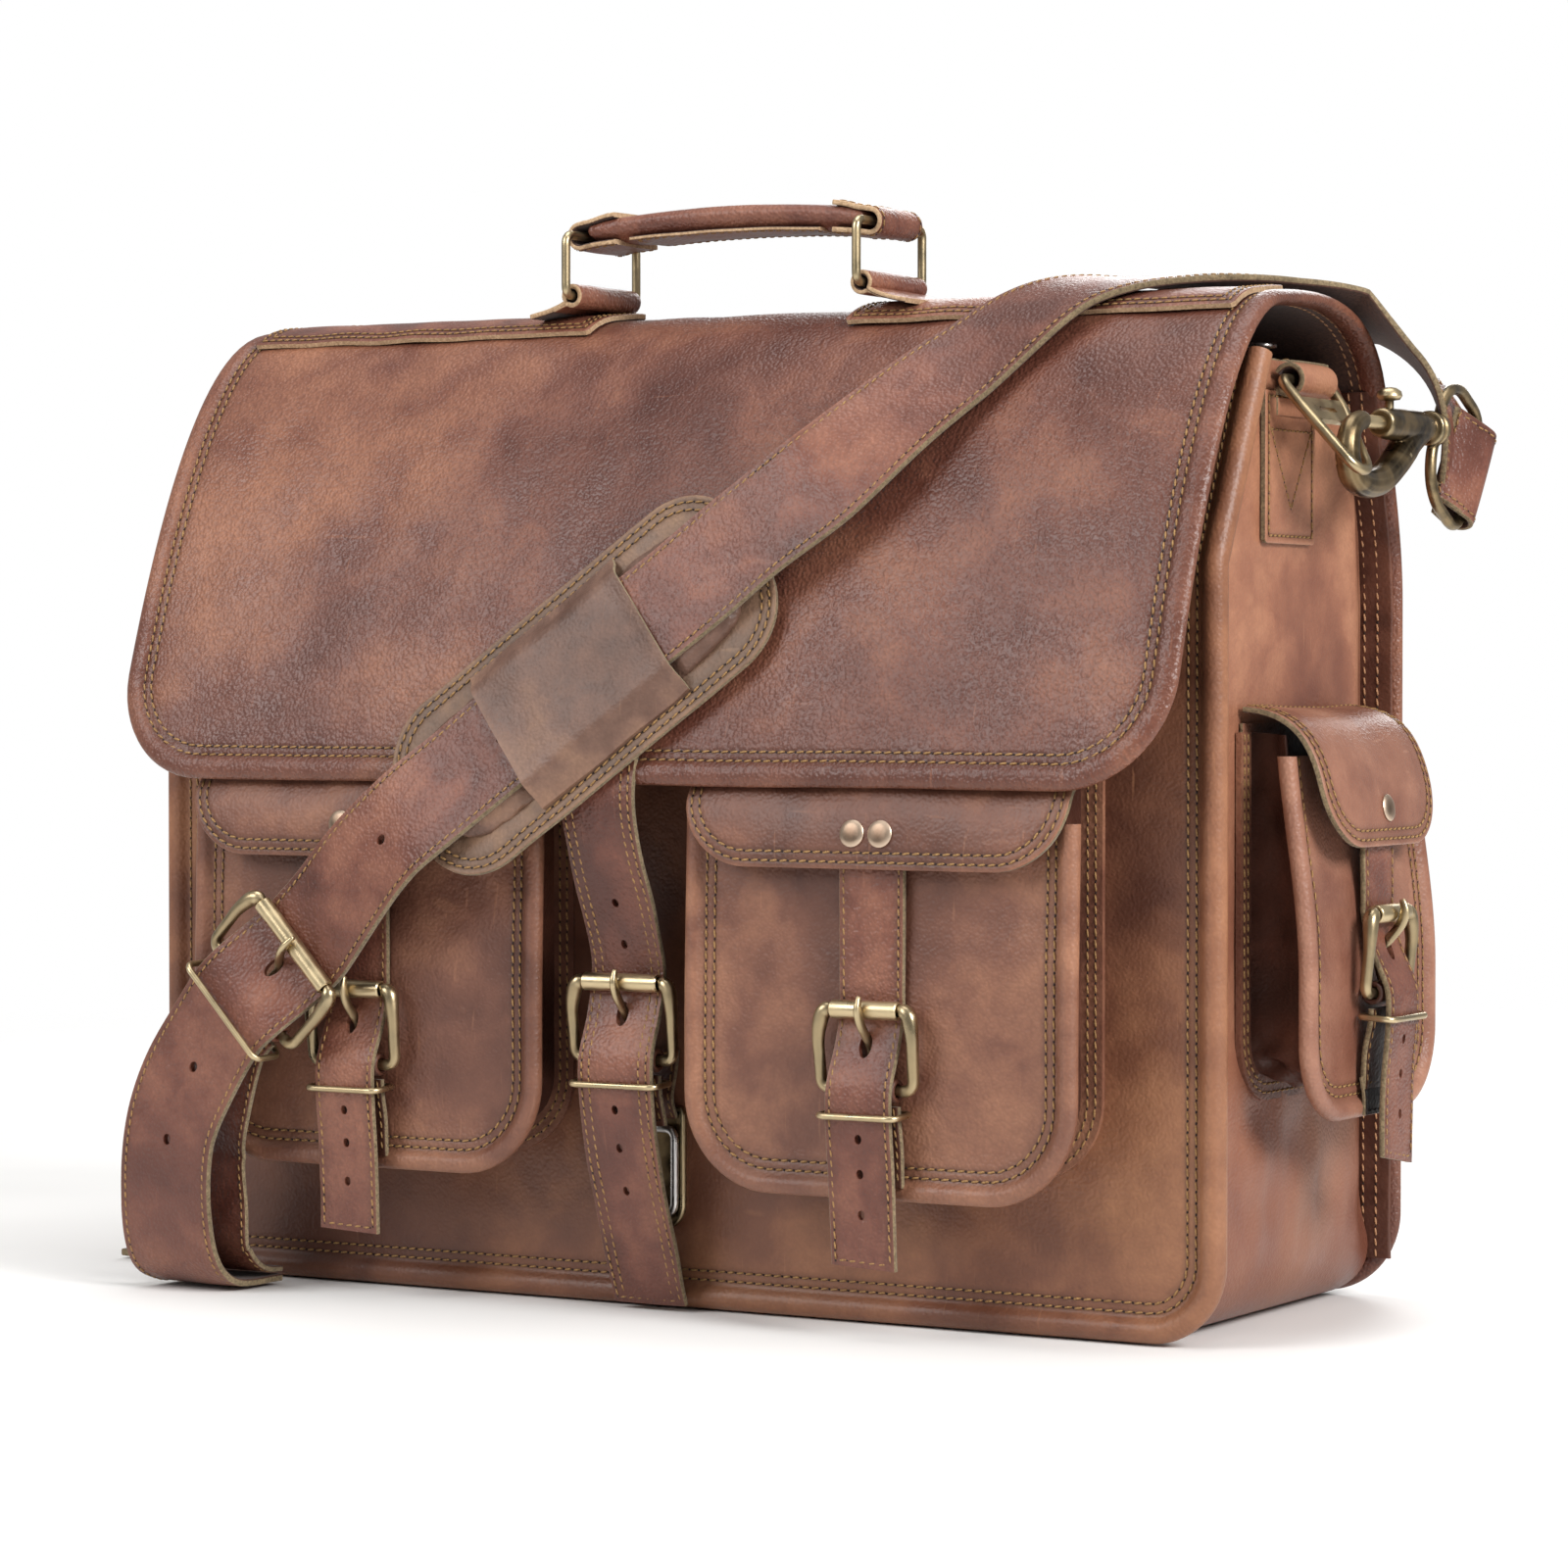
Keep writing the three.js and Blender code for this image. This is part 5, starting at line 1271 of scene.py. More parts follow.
def pocket_closure(p):
    """Strap, buckle, keeper and chape that hang from the flap."""
    half = 12.5
    place = Place(p.place.at(0, p.depth, p.roller_up), p.place.across, p.place.out)
    suffix, prefix = f"_{p.side}", f"{p.kind}_pocket"
    top = p.strap_top - p.roller_up
    stops = place.stops([(1.6, top), (1.6, 22), *THROUGH_BUCKLE, *p.tail])
    strap(f"{prefix}_strap{suffix}_leather", stops, half, p.flap_body, seed=71 + (p.side == "left"),
          holes=[top + down for down in (43, 56, 69)], tongue=TONGUE_SLOT + top,
          replaces=[f"{prefix}_strap{suffix}"], slant_end=2.0 if p.kind == "side" else 0.6)
    roller_body = f"front_roller_{p.side}" if p.kind == "front" else None
    buckle(prefix, place, half, p.flap_body, suffix, roller_body)
    keeper(prefix, place, half, p.flap_body, suffix)
    # The chape wears the dark, painted-shade copy of the leather.
    chape(prefix, place, half - 0.5, p.flap_body, ((2.2, -47), (1.4, -60)), suffix, SHADED_LEATHER)


def pocket_snap_tab(p):
    """The black tab sewn to the bottom of a side pocket."""
    place = Place(p.place.at(0, p.depth, p.bottom), p.place.across, p.place.out)
    stops = place.stops([(2.2, 1), (2.0, 8), (0.9, 14)])
    strap(f"{p.kind}_pocket_tab_{p.side}", stops, 12.0, "body", thick=1.2, stitches=(1.6,), material=BLACK,
          thread_look=BLACK_THREAD, seed=81, ends=(True, False), step=1.5)


def pockets():
    for kind in ("front", "side"):
        for side, sign in RIGHT_AND_LEFT:
            pocket = Pocket(kind, side, sign)
            for build in (pocket_face, pocket_sides, pocket_back, pocket_flap, pocket_closure):
                build(pocket)
            if kind == "side":
                pocket_snap_tab(pocket)


# ---- centre closure -------------------------------------------------------------------------

def run_nearest(stops, spot):
    """The distance along a strap at which it passes nearest to a spot."""
    places = strap_path(stops)[0]
    return float(run_of(places)[np.argmin(np.linalg.norm(places - spot, axis=1))])


def centre_closure():
    """The strap sewn under the flap's edge, with its buckle."""
    axis = pivot("center_roller_spin")
    place = Place(axis + Y_AXIS * ROLLER_OUT, X_AXIS, -Y_AXIS)
    half = 15.0
    sewn = [on_flap(0, s, 1.2) for s in (34, 22, 10, 1)]
    hanging = [(6, -62), (-2, -86), (-9, -106), (-12.5, -114.6)]
    stops = sewn + place.stops([(21.4, 62), (16.5, 44), (7, 22), *THROUGH_BUCKLE, *hanging])
    roller_run = run_nearest(stops, axis)
    strap("center_strap_leather", stops, half, "flap", stitches=(1.9, 4.9),
          holes=[roller_run + shift for shift in (-30, -15, 44, 59, 74)], tongue=TONGUE_SLOT + roller_run,
          replaces=["center_strap"], seed=91, thick=2.2)
    buckle("center", place, half, "flap", roller_body="center_roller")
    keeper("center", place, half, "flap")
    # The chape wears the dark, painted-shade copy of the leather.
    chape("center", place, half - 0.5, "flap", ((3, -42), (0, -50)), material=SHADED_LEATHER)


def clip_socket():
    """The fixed half of the quick-release clip, on its leather seat."""
    low, high = node_box("clip_socket")
    place = Place(vec(0, high[1], 0), X_AXIS, -Y_AXIS)
    middle = (low[2] + high[2]) / 2
    outline = Outline(high[0], high[2] - low[2], (9, 3), open_top=False)

    def plate(x, s):
        return place.flat(x, 1.2, low[2] + s)
    sheet("clip_socket_plate", plate, outline, "body", "antique_brass", (BRASS, BRASS, BRASS), 2.2,
          rim=(1.4, 1.5), replaces=["clip_socket"], step=3.0)
    corners = ((-8, -16), (8, -16), (8, 14), (-8, 14))
    ring = place.ring([(across, 4.2, middle + up) for across, up in corners], 3.5)
    settle(rod("clip_socket_ring", ring, 1.5, NICKEL, closed=True, step=1.0), "body", "antique_brass")
    loop = place.stops([(2.2, high[2] - 4), (5.4, high[2] + 3), (3.2, high[2] + 12), (1.6, high[2] + 20)])
    # The loop wears the dark, painted-shade copy of the leather.
    strap("clip_socket_loop", loop, 8.0, "body", thick=1.8, stitches=(1.6,), material=SHADED_LEATHER, seed=95, step=1.5)


# ---- handle ---------------------------------------------------------------------------------

GRIP_HALF = 17.0


def handle():
    """Two rings, the strips that hold them on the flap, and the grip between them."""
    low, high = node_box("handle_ring_right")
    middle, half = (low + high) / 2, (high - low) / 2
    wire = half[0]
    for side, sign in RIGHT_AND_LEFT:
        place = Place(middle * (sign, 1, 1), Y_AXIS, X_AXIS)
        long, tall = half[1] - wire, half[2] - wire
        path = place.ring([(-long, 0, -tall), (long, 0, -tall), (long, 0, tall), (-long, 0, tall)], 3.2)
        ring = rod(f"handle_ring_{side}_wire", path, wire, BRASS, closed=True, step=0.9)
        settle(ring, f"handle_ring_{side}", "antique_brass", [f"handle_ring_{side}"])
        handle_base(side, sign, middle * (sign, 1, 1) - (0, 0, tall), long, wire)
    handle_grip(middle + (0, 0, half[2] - wire), wire)


def handle_base(side, sign, bar, bar_half, wire):
    """The strip across the top of the flap that ends in a roll round the ring's lower bar."""
    low, high = node_box(f"handle_base_{side}")
    x_in, x_out = abs(bar[0]) - 7, max(abs(low[0]), abs(high[0]))
    s_low, s_high = 182.0, 223.0
    outline = Outline((x_out - x_in) / 2, s_high - s_low, (1.0, 1.0), open_top=False)

    def surface(x, s):
        return on_flap(x + sign * (x_in + x_out) / 2, s_low + s, 1.55 + 0.25 * ripple(x, s, 40, 101))
    name = f"handle_base_{side}"
    sewn_sheet(name, "_strip", surface, outline, "flap", "strap_leather", (STRAP, SUEDE, LIGHT_EDGE), 2.5,
               (2.4, 5.4), pitch=STRAP_PITCH, step=4.0, replaces=[name], fine=8.0)
    reach = wire + 1.9
    foot = [(bar + (sign * 18, 0, -reach - 3.6), Z_AXIS), (bar + (sign * 9, 0, -reach - 1.4), Z_AXIS)]
    last = [(bar + (sign * 8, 0, -reach - 1.4), -Z_AXIS)]
    around = wrapped(bar, reach, Z_AXIS, -sign * X_AXIS, -125, 215, 16)
    strap(f"{name}_roll", foot + around + last, bar_half - 3.4, "flap", thick=1.7, stitches=(), seed=103,
          ends=(False, False), step=1.0, ripple_high=0.1, crown=0.1, edge=LIGHT_EDGE)


def handle_grip(bar, wire):
    """A padded leather bar on a flat backing, rolled round the rings at its ends. Bar is the middle of
    the right ring's upper bar."""
    ring_x, middle_y, bar_high = bar
    reach = ring_x - 1.5

    def along(x, lift):
        return vec(x, middle_y, bar_high + 4.0 - 3.0 * (x / ring_x) ** 2 + lift)
    cosine, sine = circle(24)
    core = []
    for x in np.linspace(-reach, reach, 44):
        full = 1 - 0.08 * fade(abs(x), reach - 6, reach)
        core.append(along(x, 0) + (GRIP_HALF - 1.0) * squared(cosine, 0.36)[:, None] * Y_AXIS
                    + 3.8 * full * squared(sine, 0.7)[:, None] * Z_AXIS)
    grip = loft("handle_grip_pad", core, [STRAP])
    stuff(grip, 3.0, 1.2)
    settle(grip, "handle_grip", "strap_leather", ["handle_grip"])
    stops = [(along(x, -4.5), -Z_AXIS) for x in np.linspace(-40, 40, 9)]
    strap("handle_grip_backing", stops, GRIP_HALF - 3.0, "handle_grip", thick=1.2, stitches=(1.8,), seed=111,
          ends=(True, True), edge=LIGHT_EDGE)
    for side, sign in RIGHT_AND_LEFT:
        over = [(along(sign * (ring_x - x), lift), Z_AXIS) for x, lift in ((15, 5.0), (10, 4.6), (5, 3.7))]
        around = wrapped(bar * (sign, 1, 1), wire + 2.6, sign * X_AXIS, Z_AXIS, 70, -110, 12)
        under = [(along(sign * (ring_x - x), -4.8), -Z_AXIS) for x in (6, 11, 15)]
        strap(f"handle_grip_roll_{side}", over + around + under, GRIP_HALF - 1.8, "handle_grip", thick=1.8,
              stitches=(1.8,), seed=113, ends=(True, False), step=1.0, ripple_high=0.1, edge=LIGHT_EDGE)


def stuff(piece, pressure, cap, dent=None):
    """Swells a closed mesh like stuffing would, with each point moving at most cap millimetres.
    Dent gives further moves for points in millimetres."""
    even_out = piece.modifiers.new("even", "REMESH")
    even_out.mode, even_out.voxel_size = "VOXEL", 2.4 * MM
    bake(piece)
    start = np.array([vertex.co[:] for vertex in piece.data.vertices])
    cloth = piece.modifiers.new("stuffing", "CLOTH").settings
    cloth.use_pressure, cloth.uniform_pressure_force = True, pressure
    cloth.effector_weights.gravity = 0
    cloth.quality, cloth.mass = 6, 0.2
    for number in range(1, 21):
        bpy.context.scene.frame_set(number)
    bake(piece)
    bpy.context.scene.frame_set(1)
    moved = np.array([vertex.co[:] for vertex in piece.data.vertices]) - start
    far = np.linalg.norm(moved, axis=1, keepdims=True)
    held = start + moved * np.minimum(1, cap * MM / np.maximum(far, 1e-9))
    if dent is not None:
        held = held + dent(held / MM) * MM
    piece.data.vertices.foreach_set("co", held.ravel())
    soften = piece.modifiers.new("soften", "SMOOTH")
    soften.factor, soften.iterations = 0.5, 4
    fine = piece.modifiers.new("fine", "SUBSURF")
    fine.levels = fine.render_levels = 1
    bake(piece)
    piece.data.shade_smooth()


# ---- rings and snap hooks -------------------------------------------------------------------

RING_TILT = math.radians(40)
RING_LONG = 42.4
LOOP_TILT = {"right": math.radians(-28), "left": math.radians(-52)}
LOOP_PIVOT_Y = 64.0
LOOP_LONG = 34.0
HOOK_Z = 312.0


def ring_tab(side, sign):
    """The tab on the gusset: a sewn plate below, rolled round the ring's top bar above."""
    low, high = node_box(f"ring_tab_{side}")
    axis = pivot(f"triangle_ring_{side}_swing")
    face = GUSSET_HIGH[0] + 0.3
    place = Place(vec(sign * face, 0, 0), Y_AXIS * sign, X_AXIS * sign)
    half = (high[1] - low[1]) / 2 - 1.5
    outline = Outline(half, axis[2] - 3 - low[2], (1.5, 1.0), open_top=False)
    thick = 2.2

    def surface(x, s):
        return place.flat(x + sign * (low[1] + high[1]) / 2, thick / 2, low[2] + s)
    top = outline.length - 14
    lines = ((4 - half, top, 0, 12), (0, 12, half - 4, top), (3 - half, top, half - 3, top))
    cross = [surface(np.linspace(x0, x1, 20), np.linspace(s0, s1, 20)) for x0, s0, x1, s1 in lines]
    name = f"ring_tab_{side}"
    sewn_sheet(name, "_plate", surface, outline, "body", "strap_leather", (SIDES, SUEDE, EDGE), thick, (2.6,),
               more=cross, pitch=STRAP_PITCH, step=3.0, replaces=[name], fine=6.0)
    bar = place.at(sign * -3, axis[0] * sign - face, axis[2])
    first = [(place.at(sign * -3, 1.6, axis[2] - 12), place.out)]
    around = wrapped(bar, 5.0, place.out, place.up, -150, 150, 14)
    strap(f"{name}_roll", first + around, 14.2, "body", thick=2.0, stitches=(), seed=121,
          ends=(False, False), step=1.0, ripple_high=0.1, material=SIDES)


def triangle_ring(side, sign):
    """A triangular wire with a flat, pierced cross piece under its top bar."""
    middle, low_end = -5.0, RING_LONG - 1.5
    out = vec(sign * math.cos(RING_TILT), 0, math.sin(RING_TILT))
    place = Place(pivot(f"triangle_ring_{side}_swing"), Y_AXIS * sign, out)

    def ring(corners, radius):
        return place.ring([(sign * y, 0, -down) for y, down in corners], radius)
    corners = [(middle - 19, 0), (middle + 19, 0), (middle + 19, 9), (-8.5, low_end), (-19.0, low_end),
               (middle - 19, 9)]
    wire = rod("wire", ring(corners, 4.5), 1.9, BRASS, closed=True, step=0.9, sides=16)
    edge = ring([(middle - 18, 9), (middle + 18, 9), (middle + 12.5, 19), (middle - 15, 19)], 3.0)
    centre = place.at(sign * (middle - 1.2), 0, -14)
    angle = np.arctan2((centre - edge) @ place.up, (edge - centre) @ Y_AXIS)[:, None]
    hole = centre + 7 * np.cos(angle) * Y_AXIS - 2.6 * np.sin(angle) * place.up
    skin = np.stack([edge + 1.1 * out, hole + 1.1 * out, hole - 1.1 * out, edge - 1.1 * out], 1)
    plate = loft("plate", skin, [BRASS], closed=True, sharp=40)
    settle(join(f"triangle_ring_{side}_cast", [wire, plate]), f"ring_{side}", "antique_brass",
           [f"triangle_ring_{side}"])


def loop_frame(side, x):
    """A hook's strap loop: its pivot, the direction along it and the direction across it."""
    cosine, sine = math.cos(LOOP_TILT[side]), math.sin(LOOP_TILT[side])
    return vec(x, LOOP_PIVOT_Y, HOOK_Z), vec(0, cosine, sine), vec(0, -sine, cosine)


def snap_hook(side):
    """A cast hook: barrel, curled nose, swivel and strap loop, melted into one smooth body, and its bolt."""
    x = np.mean(node_box(f"hook_bolt_{side}"), axis=0)[0]
    throat, nose, front, back = -3.5, 10.5, 14.0, 54.0
    base = -2 * nose
    at_hook = vec(x, 0, HOOK_Z)
    curl = [(50, -1.5), (38, -6), (26, -13.5), (12, base + 1.0), (throat, base)]
    for angle in np.radians((45, 90, 135, 180)):
        curl.append((throat - nose * math.sin(angle), base + nose * (1 - math.cos(angle))))
    curl.append((throat + 2.0, 0))
    path, _ = smooth_through([at_hook + (0, y, up) for y, up in curl])
    shares, radii = (0, 0.15, 0.32, 0.6, 0.85, 1), (4.4, 5.6, 5.4, 4.6, 3.7, 3.4)
    size = np.interp(np.linspace(0, 1, len(path)), shares, radii)
    barrel = [(0, front), (4.6, front), (5.2, front + 1), (5.6, front + 6), (5.7, back - 8), (5.0, back - 2),
              (4.2, back), (0, back)]
    swivel = [(0, back - 2), (3.6, back - 2), (3.6, back + 1), (6.2, back + 2), (6.4, back + 3.6),
              (4.4, back + 5.2), (6.2, back + 6.6), (6.0, back + 9), (4.2, LOOP_PIVOT_Y + 1.5),
              (0, LOOP_PIVOT_Y + 1.5)]
    start, away, sideways = loop_frame(side, x)
    loop = [start + away * a + sideways * b for a, b in
            ((0, -14), (0, 14), (9, 23.5), (LOOP_LONG, 23.5), (LOOP_LONG, -23.5), (9, -23.5))]
    hook = join(f"snap_hook_{side}_cast", [
        rod("nose", path, size, BRASS, step=1.0, facing=X_AXIS),
        turned("barrel", barrel, at_hook, Y_AXIS, BRASS), turned("swivel", swivel, at_hook, Y_AXIS, BRASS),
        rod("loop", rounded(loop, 9.0), 2.15, BRASS, closed=True, step=1.0)])
    melt = hook.modifiers.new("melt", "REMESH")
    melt.mode, melt.voxel_size = "VOXEL", 0.5 * MM
    soft = hook.modifiers.new("soft", "SMOOTH")
    soft.factor, soft.iterations = 0.5, 5
    bake(hook)
    hook.data.materials.clear()
    hook.data.materials.append(BRASS)
    hook.data.shade_smooth()
    settle(hook, "body", "antique_brass", [f"snap_hook_{side}"])
    knob = [(0, 5.0), (1.5, 5.0), (1.5, 8.0), (3.6, 8.3), (4.5, 9.6), (4.1, 11.2), (2.4, 12.4), (0, 12.8)]
    bolt = [(0, throat + 1.2), (1.9, throat + 1.2), (2.4, throat + 2.2), (2.4, 15.5), (0, 15.5)]
    pieces = [turned("bolt", bolt, at_hook, Y_AXIS, BRASS),
              turned("knob", knob, at_hook + (0, 22, 0), Z_AXIS, BRASS)]
    settle(join(f"hook_bolt_{side}_cast", pieces), f"bolt_{side}", "antique_brass", [f"hook_bolt_{side}"])


# ---- shoulder strap -------------------------------------------------------------------------

SHOULDER_HALF = 20.0
SHOULDER_THICK = 2.5
PAD_X, PAD_S, PAD_ANGLE = -11.0, 34.0, math.radians(40)
PAD_HALF_LONG, PAD_HALF_WIDE = 80.0, 37.0
PAD_UNDER, PAD_BASE, PAD_TOP = 2.8, 5.4, 13.6
CUSHION_HALF_LONG, CUSHION_HALF_WIDE = PAD_HALF_LONG - 10.5, PAD_HALF_WIDE - 9.5
STRAP_IN_PAD = 10.5


def pad_place():
    """The pad's frame on the flap: across is along the pad, up is across it."""
    (origin, ahead), (outward, _) = on_flap(PAD_X, vec(PAD_S, PAD_S + 2))
    along = math.cos(PAD_ANGLE) * X_AXIS + math.sin(PAD_ANGLE) * unit(ahead - origin)
    return Place(origin, along, outward)


PAD_PLACE = pad_place()


def shoulder_pad():
    """A stitched flange, a stuffed cushion on it, and the band that holds the strap down."""
    outline = Outline(PAD_HALF_WIDE, 2 * PAD_HALF_LONG, (26, 26), open_top=False)

    def surface(x, s):
        lift = 0.35 + 0.2 * ripple(x, s, 40, 131)
        return PAD_PLACE.flat(s - PAD_HALF_LONG, (PAD_UNDER + PAD_BASE) / 2 + lift, x)
    sewn_sheet("shoulder_pad", "_flange", surface, outline, "pad", "strap_leather", (FLANGE, SUEDE, EDGE),
               PAD_BASE - PAD_UNDER - 0.4, (2.4, 5.4), replaces=["shoulder_pad"], step=4.0, fine=9.0)
    cosine, sine = circle(28)
    core = [PAD_PLACE.at((CUSHION_HALF_LONG - inset) * squared(cosine, 0.4), PAD_BASE + lift,
                         (CUSHION_HALF_WIDE - inset) * squared(sine, 0.4))
            for lift, inset in ((-1.6, 0.4), (0, 0), (2.4, 0.8), (3.6, 3.2))]
    cushion = loft("shoulder_pad_cushion", core, [PAD])
    stuff(cushion, 4.0, 1.8, dent=cushion_dent)
    settle(cushion, "pad", "strap_leather")
    pad_band()


def cushion_dent(points):
    """How far each point of the cushion moves: a fold along its rim, soft dents and the band's pull."""
    local = points - PAD_PLACE.origin
    along, across, height = local @ PAD_PLACE.across, local @ PAD_PLACE.up, local @ PAD_PLACE.out
    rim = np.minimum(CUSHION_HALF_LONG - np.abs(along), CUSHION_HALF_WIDE - np.abs(across))
    groove = 0.9 * np.exp(-((rim - 6.5) / 2.2) ** 2)
    pull = 2.4 * fade(38 - np.abs(along), 0, 5)
    move = 0.5 * ripple(along, across, 32, 137) - groove - pull
    return (move * fade(height, PAD_BASE, PAD_BASE + 2))[:, None] * PAD_PLACE.out


def pad_band():
    """The leather band across the pad; the strap runs between it and the cushion."""
    long, half_thick = 34.0, 0.8
    spots = np.r_[-1, -0.9, np.linspace(-0.78, 0.78, 21), 0.9, 1] * (PAD_HALF_WIDE - 6.2)
    rise = 1 - fade(np.abs(spots), SHOULDER_HALF + 1, PAD_HALF_WIDE - 6.6)
    foot, crest = PAD_BASE + 0.8, PAD_TOP - 0.9
    rows = []
    for along in np.linspace(-long, long, 30):
        sway = 0.4 * ripple(spots, along, 30, 141) + 0.5 * fade(abs(along), long - 5, long)
        height = foot + (crest - foot) * rise + sway
        top, low = (PAD_PLACE.at(along, height + shift, spots) for shift in (half_thick, -half_thick))
        rows.append(np.concatenate([top, low[::-1]]))
    # The band's end rows get the lighter rim: wear and painted highlight.
    rim = np.zeros((len(rows), 2 * len(spots)))
    rim[[0, -1]] = 1
    band = loft("shoulder_pad_band", rows, [PAD, EDGE], layers={"rim": rim, "seam": rim * 0})
    settle(band, "pad", "strap_leather")


def folded_end(side, back):
    """The strap's end, folded round the far bar of a hook's loop; back points to the hook.
    Gives the bar's middle."""
    x = np.mean(node_box(f"hook_bolt_{side}"), axis=0)[0]
    start, away, along_bar = loop_frame(side, x)
    bar, back = start + away * LOOP_LONG, unit(back)
    out = np.cross(along_bar, back)
    under = [(bar + back * run - out * lift, -out) for run, lift in ((8, 4.7), (3, 5.0))]
    over = [(bar + back * run + out * lift, out) for run, lift in ((17, 3.2), (10, 4.6), (4, 5.0))]
    strap(f"shoulder_strap_fold_{side}", under + wrapped(bar, 5.0, -back, out, -100, 100, 12) + over,
          SHOULDER_HALF - 1, "body", thick=1.9, stitches=(2.4,), seed=171, ends=(False, False), step=1.2,
          ripple_high=0.1)
    return bar


def shoulder_strap():
    """From the right hook over the flap, under the pad's band and through the buckle to the floor."""
    joint = JOINTS["shoulder_roller_spin"]
    place = Place(pivot(joint["name"]) + Y_AXIS * ROLLER_OUT, joint["axis"], -Y_AXIS)
    bar = folded_end("right", (-0.35, -0.8, 0.5))
    start = [(bar - (3.8, 0, 0), X_AXIS), (vec(232, 86, 312), vec(0.95, 0.1, 0.25)),
             (vec(229, 75, 328), vec(0.75, 0.2, 0.6)), (vec(221, 62, 342), vec(0.38, 0.15, 0.92))]
    over = [on_flap(206, 273, 6), on_flap(188, 254, 5.6), on_flap(165, 224, 6), on_flap(140, 190, 5.6),
            on_flap(112, 152, 5)]
    flat = [(PAD_PLACE.at(along, STRAP_IN_PAD, 0), PAD_PLACE.out) for along in (114, 60, 0, -50, -86)]
    tail = [(vec(-172, -138, 62), -Y_AXIS), (vec(-177, -136, 32), -Y_AXIS),
            (vec(-176, -131, 11), vec(0, -0.9, -0.4)), (vec(-175, -121, 3.6), vec(0, -0.2, -1)),
            (vec(-174, -96, 2.4), -Z_AXIS)]
    stops = start + over + flat + place.stops(THROUGH_BUCKLE) + tail
    roller_run = run_nearest(stops, place.origin)
    blend = ("flap", "body", vec(206, 42, 352), vec(228, 74, 330))
    strap("shoulder_strap_leather", stops, SHOULDER_HALF, blend, thick=SHOULDER_THICK, stitches=(2.4,),
          holes=[roller_run + shift for shift in (-115, -57, 62, 92)], hole_size=(2.1, 1.7),
          tongue=TONGUE_SLOT + roller_run, replaces=["shoulder_strap_long", "shoulder_strap_end"], seed=151)
    buckle("shoulder", place, SHOULDER_HALF, "flap", roller_body="shoulder_roller")
    keeper("shoulder", place, SHOULDER_HALF, "flap", front=15.2)
    hanging = [(vec(-167, -124, 68), -Y_AXIS), (vec(-173, -119, 50), -Y_AXIS), (vec(-170, -122, 30), -Y_AXIS),
               (vec(-173, -117, 16), vec(0, -0.9, -0.4)), (vec(-172, -108, 7.5), vec(0, -0.3, -1)),
               (vec(-172, -98, 6), -Z_AXIS)]
    chape("shoulder", place, SHOULDER_HALF - 0.5, "flap", ((3, -44),), more=hanging)


def short_strap():
    """From the left hook down behind the bag, along the floor and up to the buckle."""
    bar = folded_end("left", (-0.2, 0.3, -1))
    outside, under = -X_AXIS, -Z_AXIS
    stops = [(bar - (3.8, 0, 0), outside), (bar + (-3, 9, -16), outside), (vec(-235, 100, 200), outside),
             (vec(-235, 98, 80), outside), (vec(-240, 92, 30), vec(-0.8, 0, -0.6)),
             (vec(-243, 62, 7), vec(-0.2, 0, -1)), (vec(-237, 10, 2), under), (vec(-234, -30, 2), under),
             (vec(-235, -64, 2), under)]
    strap("shoulder_strap_short_leather", stops, SHOULDER_HALF, "body", thick=SHOULDER_THICK, stitches=(2.4,),
          seed=161, ends=(False, False), replaces=["shoulder_strap_short"])


# ---- stage ----------------------------------------------------------------------------------

CAMERA_AT = vec(890.8, -1505.9, 226.4)
CAMERA_YAW, CAMERA_PITCH = 0.532, -0.024
CAMERA_LENS = 108.8


def aimed(name, data, spot, direction):
    """An object at a spot, in metres, whose -Z axis points in a direction."""
    piece = bpy.data.objects.new(name, data)
    piece.location = spot
    piece.rotation_mode = "QUATERNION"
    piece.rotation_quaternion = Vector(direction).to_track_quat("-Z", "Y")
    bpy.context.scene.collection.objects.link(piece)
    return piece


def camera():
    """A long lens in front of the bag and to its right."""
    data = bpy.data.cameras.new("camera")
    data.lens, data.sensor_width = CAMERA_LENS, 36
    data.clip_start, data.clip_end = 0.05, 60
    level = math.cos(CAMERA_PITCH)
    look = (-math.sin(CAMERA_YAW) * level, math.cos(CAMERA_YAW) * level, math.sin(CAMERA_PITCH))
    bpy.context.scene.camera = aimed("camera", data, CAMERA_AT * MM, look)


def lamp(name, spot, target, size, power):
    """A round soft lamp; spot, target and size are in metres."""
    data = bpy.data.lights.new(name, "AREA")
    data.shape, data.size, data.energy = "DISK", size, power
    aimed(name, data, spot, vec(*target) - vec(*spot))


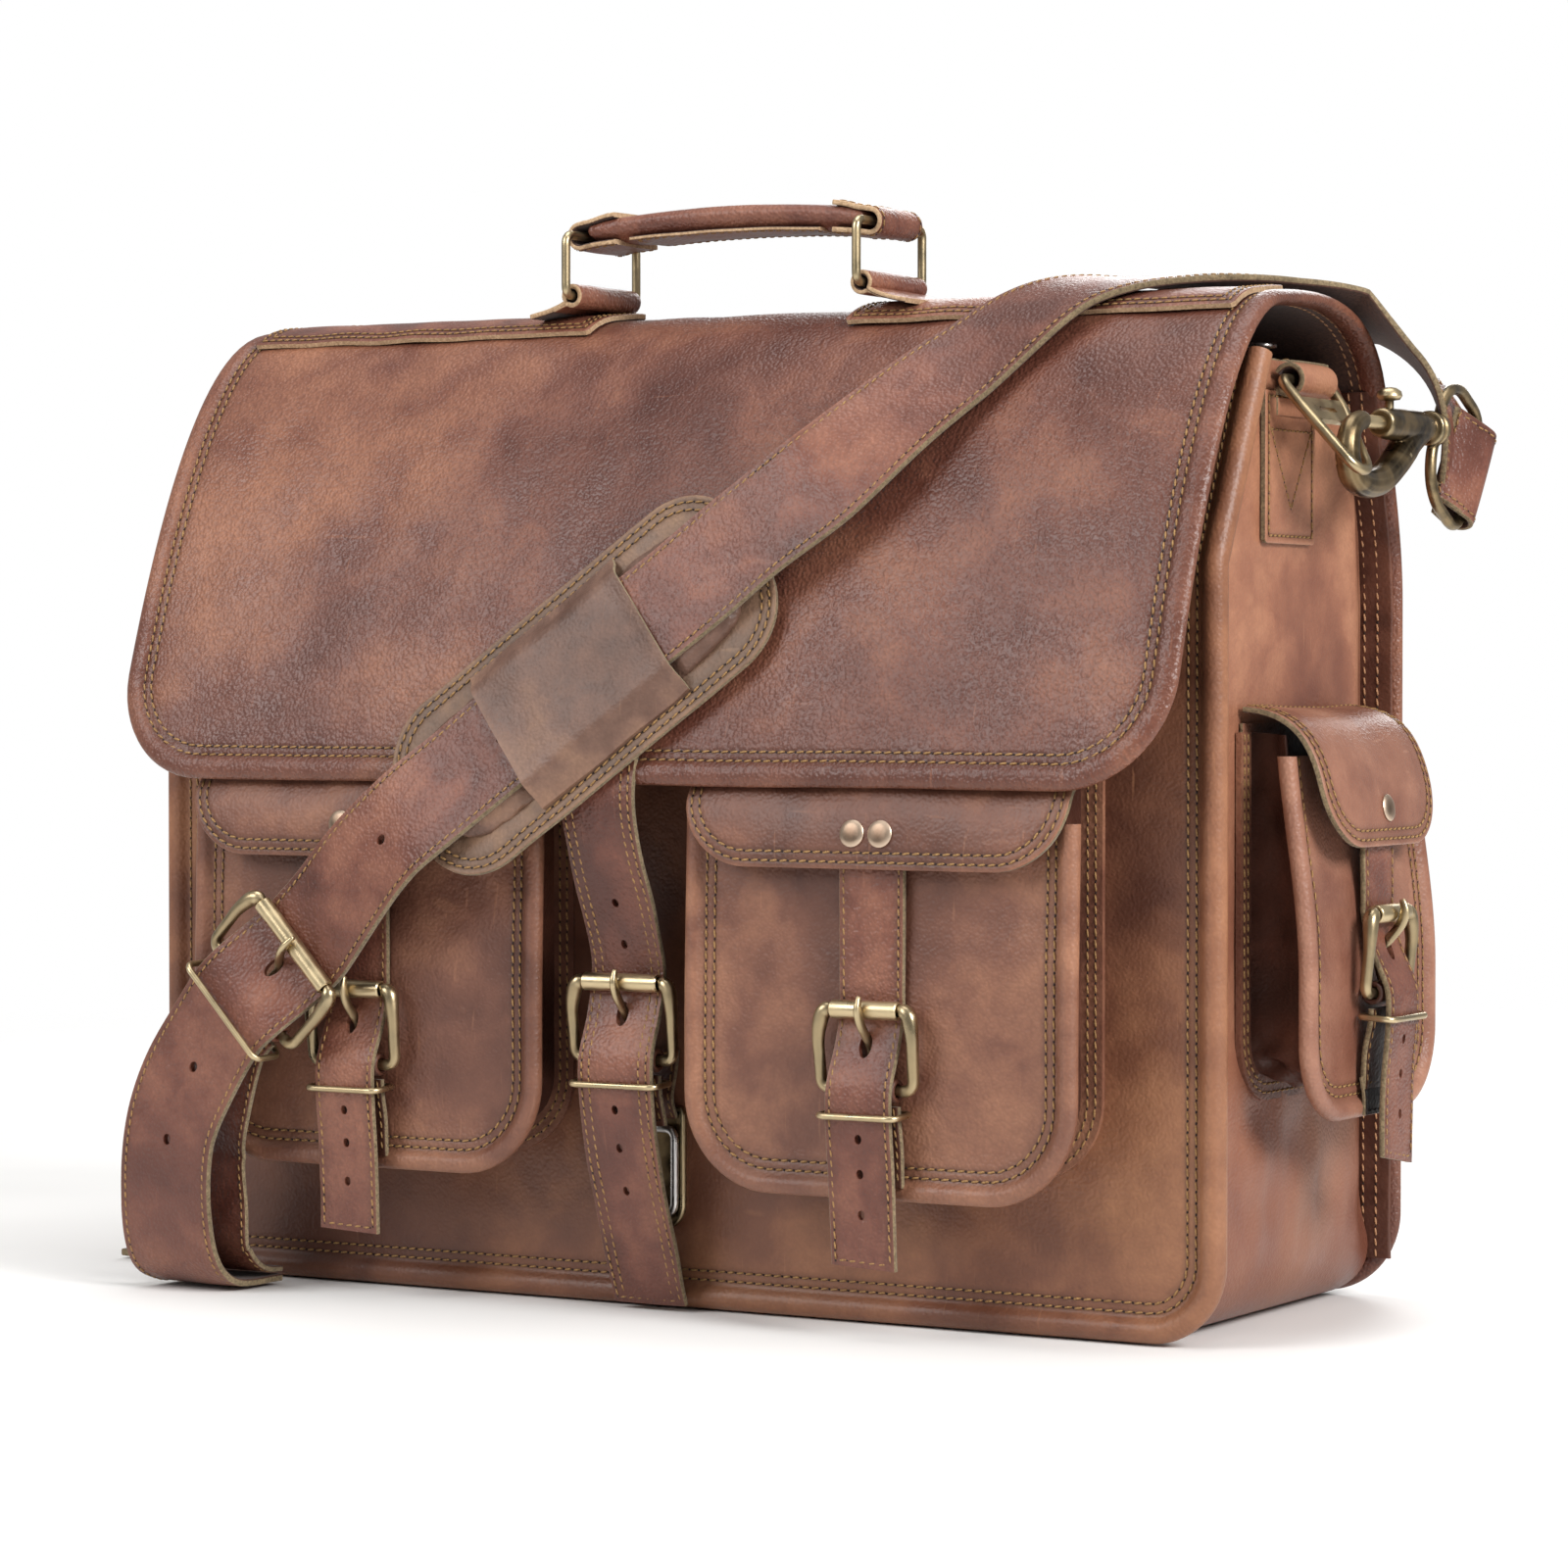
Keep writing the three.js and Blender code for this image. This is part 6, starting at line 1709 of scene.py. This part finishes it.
def lights():
    """Four soft lamps, and a white world that lights the bag less than the camera sees it."""
    middle = (0, 0, 0.2)
    lamp("key", (-1.1, -2.0, 1.5), middle, 1.5, 33)
    lamp("side", (2.1, -0.7, 1.35), (0.15, 0, 0.3), 1.0, 54)
    lamp("top", (0.0, 0.0, 2.2), middle, 1.6, 20)
    lamp("rear", (-0.6, 2.3, 1.3), middle, 1.4, 26)
    world = bpy.data.worlds.new("studio")
    world.use_nodes = True
    tree = world.node_tree
    mix = tree.nodes.new("ShaderNodeMixShader")
    rays = tree.nodes.new("ShaderNodeLightPath")
    tree.links.new(rays.outputs["Is Camera Ray"], mix.inputs[0])
    backgrounds = (tree.nodes["Background"], tree.nodes.new("ShaderNodeBackground"))
    for socket, (background, strength) in enumerate(zip(backgrounds, (0.38, 1.0)), 1):
        background.inputs[0].default_value = (1, 1, 1, 1)
        background.inputs[1].default_value = strength
        tree.links.new(background.outputs[0], mix.inputs[socket])
    tree.links.new(mix.outputs[0], tree.nodes["World Output"].inputs[0])
    bpy.context.scene.world = world
    bpy.context.scene.view_settings.view_transform = "Standard"


def floor():
    """A pale floor that fades into the backdrop."""
    s = Shader("floor_look")
    distance = s.add("ShaderNodeVectorMath", {0: s.place}, operation="LENGTH").outputs["Value"]
    s.finish(Base_Color=s.mix(s.spread(s.noise(6, 2.0), 0.3, 0.7), FLOOR_DARK, FLOOR_LIGHT), Roughness=0.7)
    clear = s.add("ShaderNodeBsdfTransparent").outputs[0]
    ends = s.add("ShaderNodeMixShader", {0: s.spread(distance, 0.5, 1.5), 1: s.surface.outputs[0], 2: clear})
    s.tree.links.new(ends.outputs[0], s.tree.nodes["Material Output"].inputs[0])
    cosine, sine = circle(64)
    points = np.stack([cosine * 3000, sine * 3000, np.full(64, -0.4)], 1)
    make("floor", points, [list(range(64))], [s.material], tidy=False)


# ---- the bag --------------------------------------------------------------------------------

shell()
front_panel()
gusset()
back_flange()
divider()
zip_row()
pockets()
centre_closure()
clip_socket()
handle()
for side_name, side_sign in RIGHT_AND_LEFT:
    ring_tab(side_name, side_sign)
    triangle_ring(side_name, side_sign)
    snap_hook(side_name)
shoulder_pad()
shoulder_strap()
short_strap()
floor()
lights()
camera()
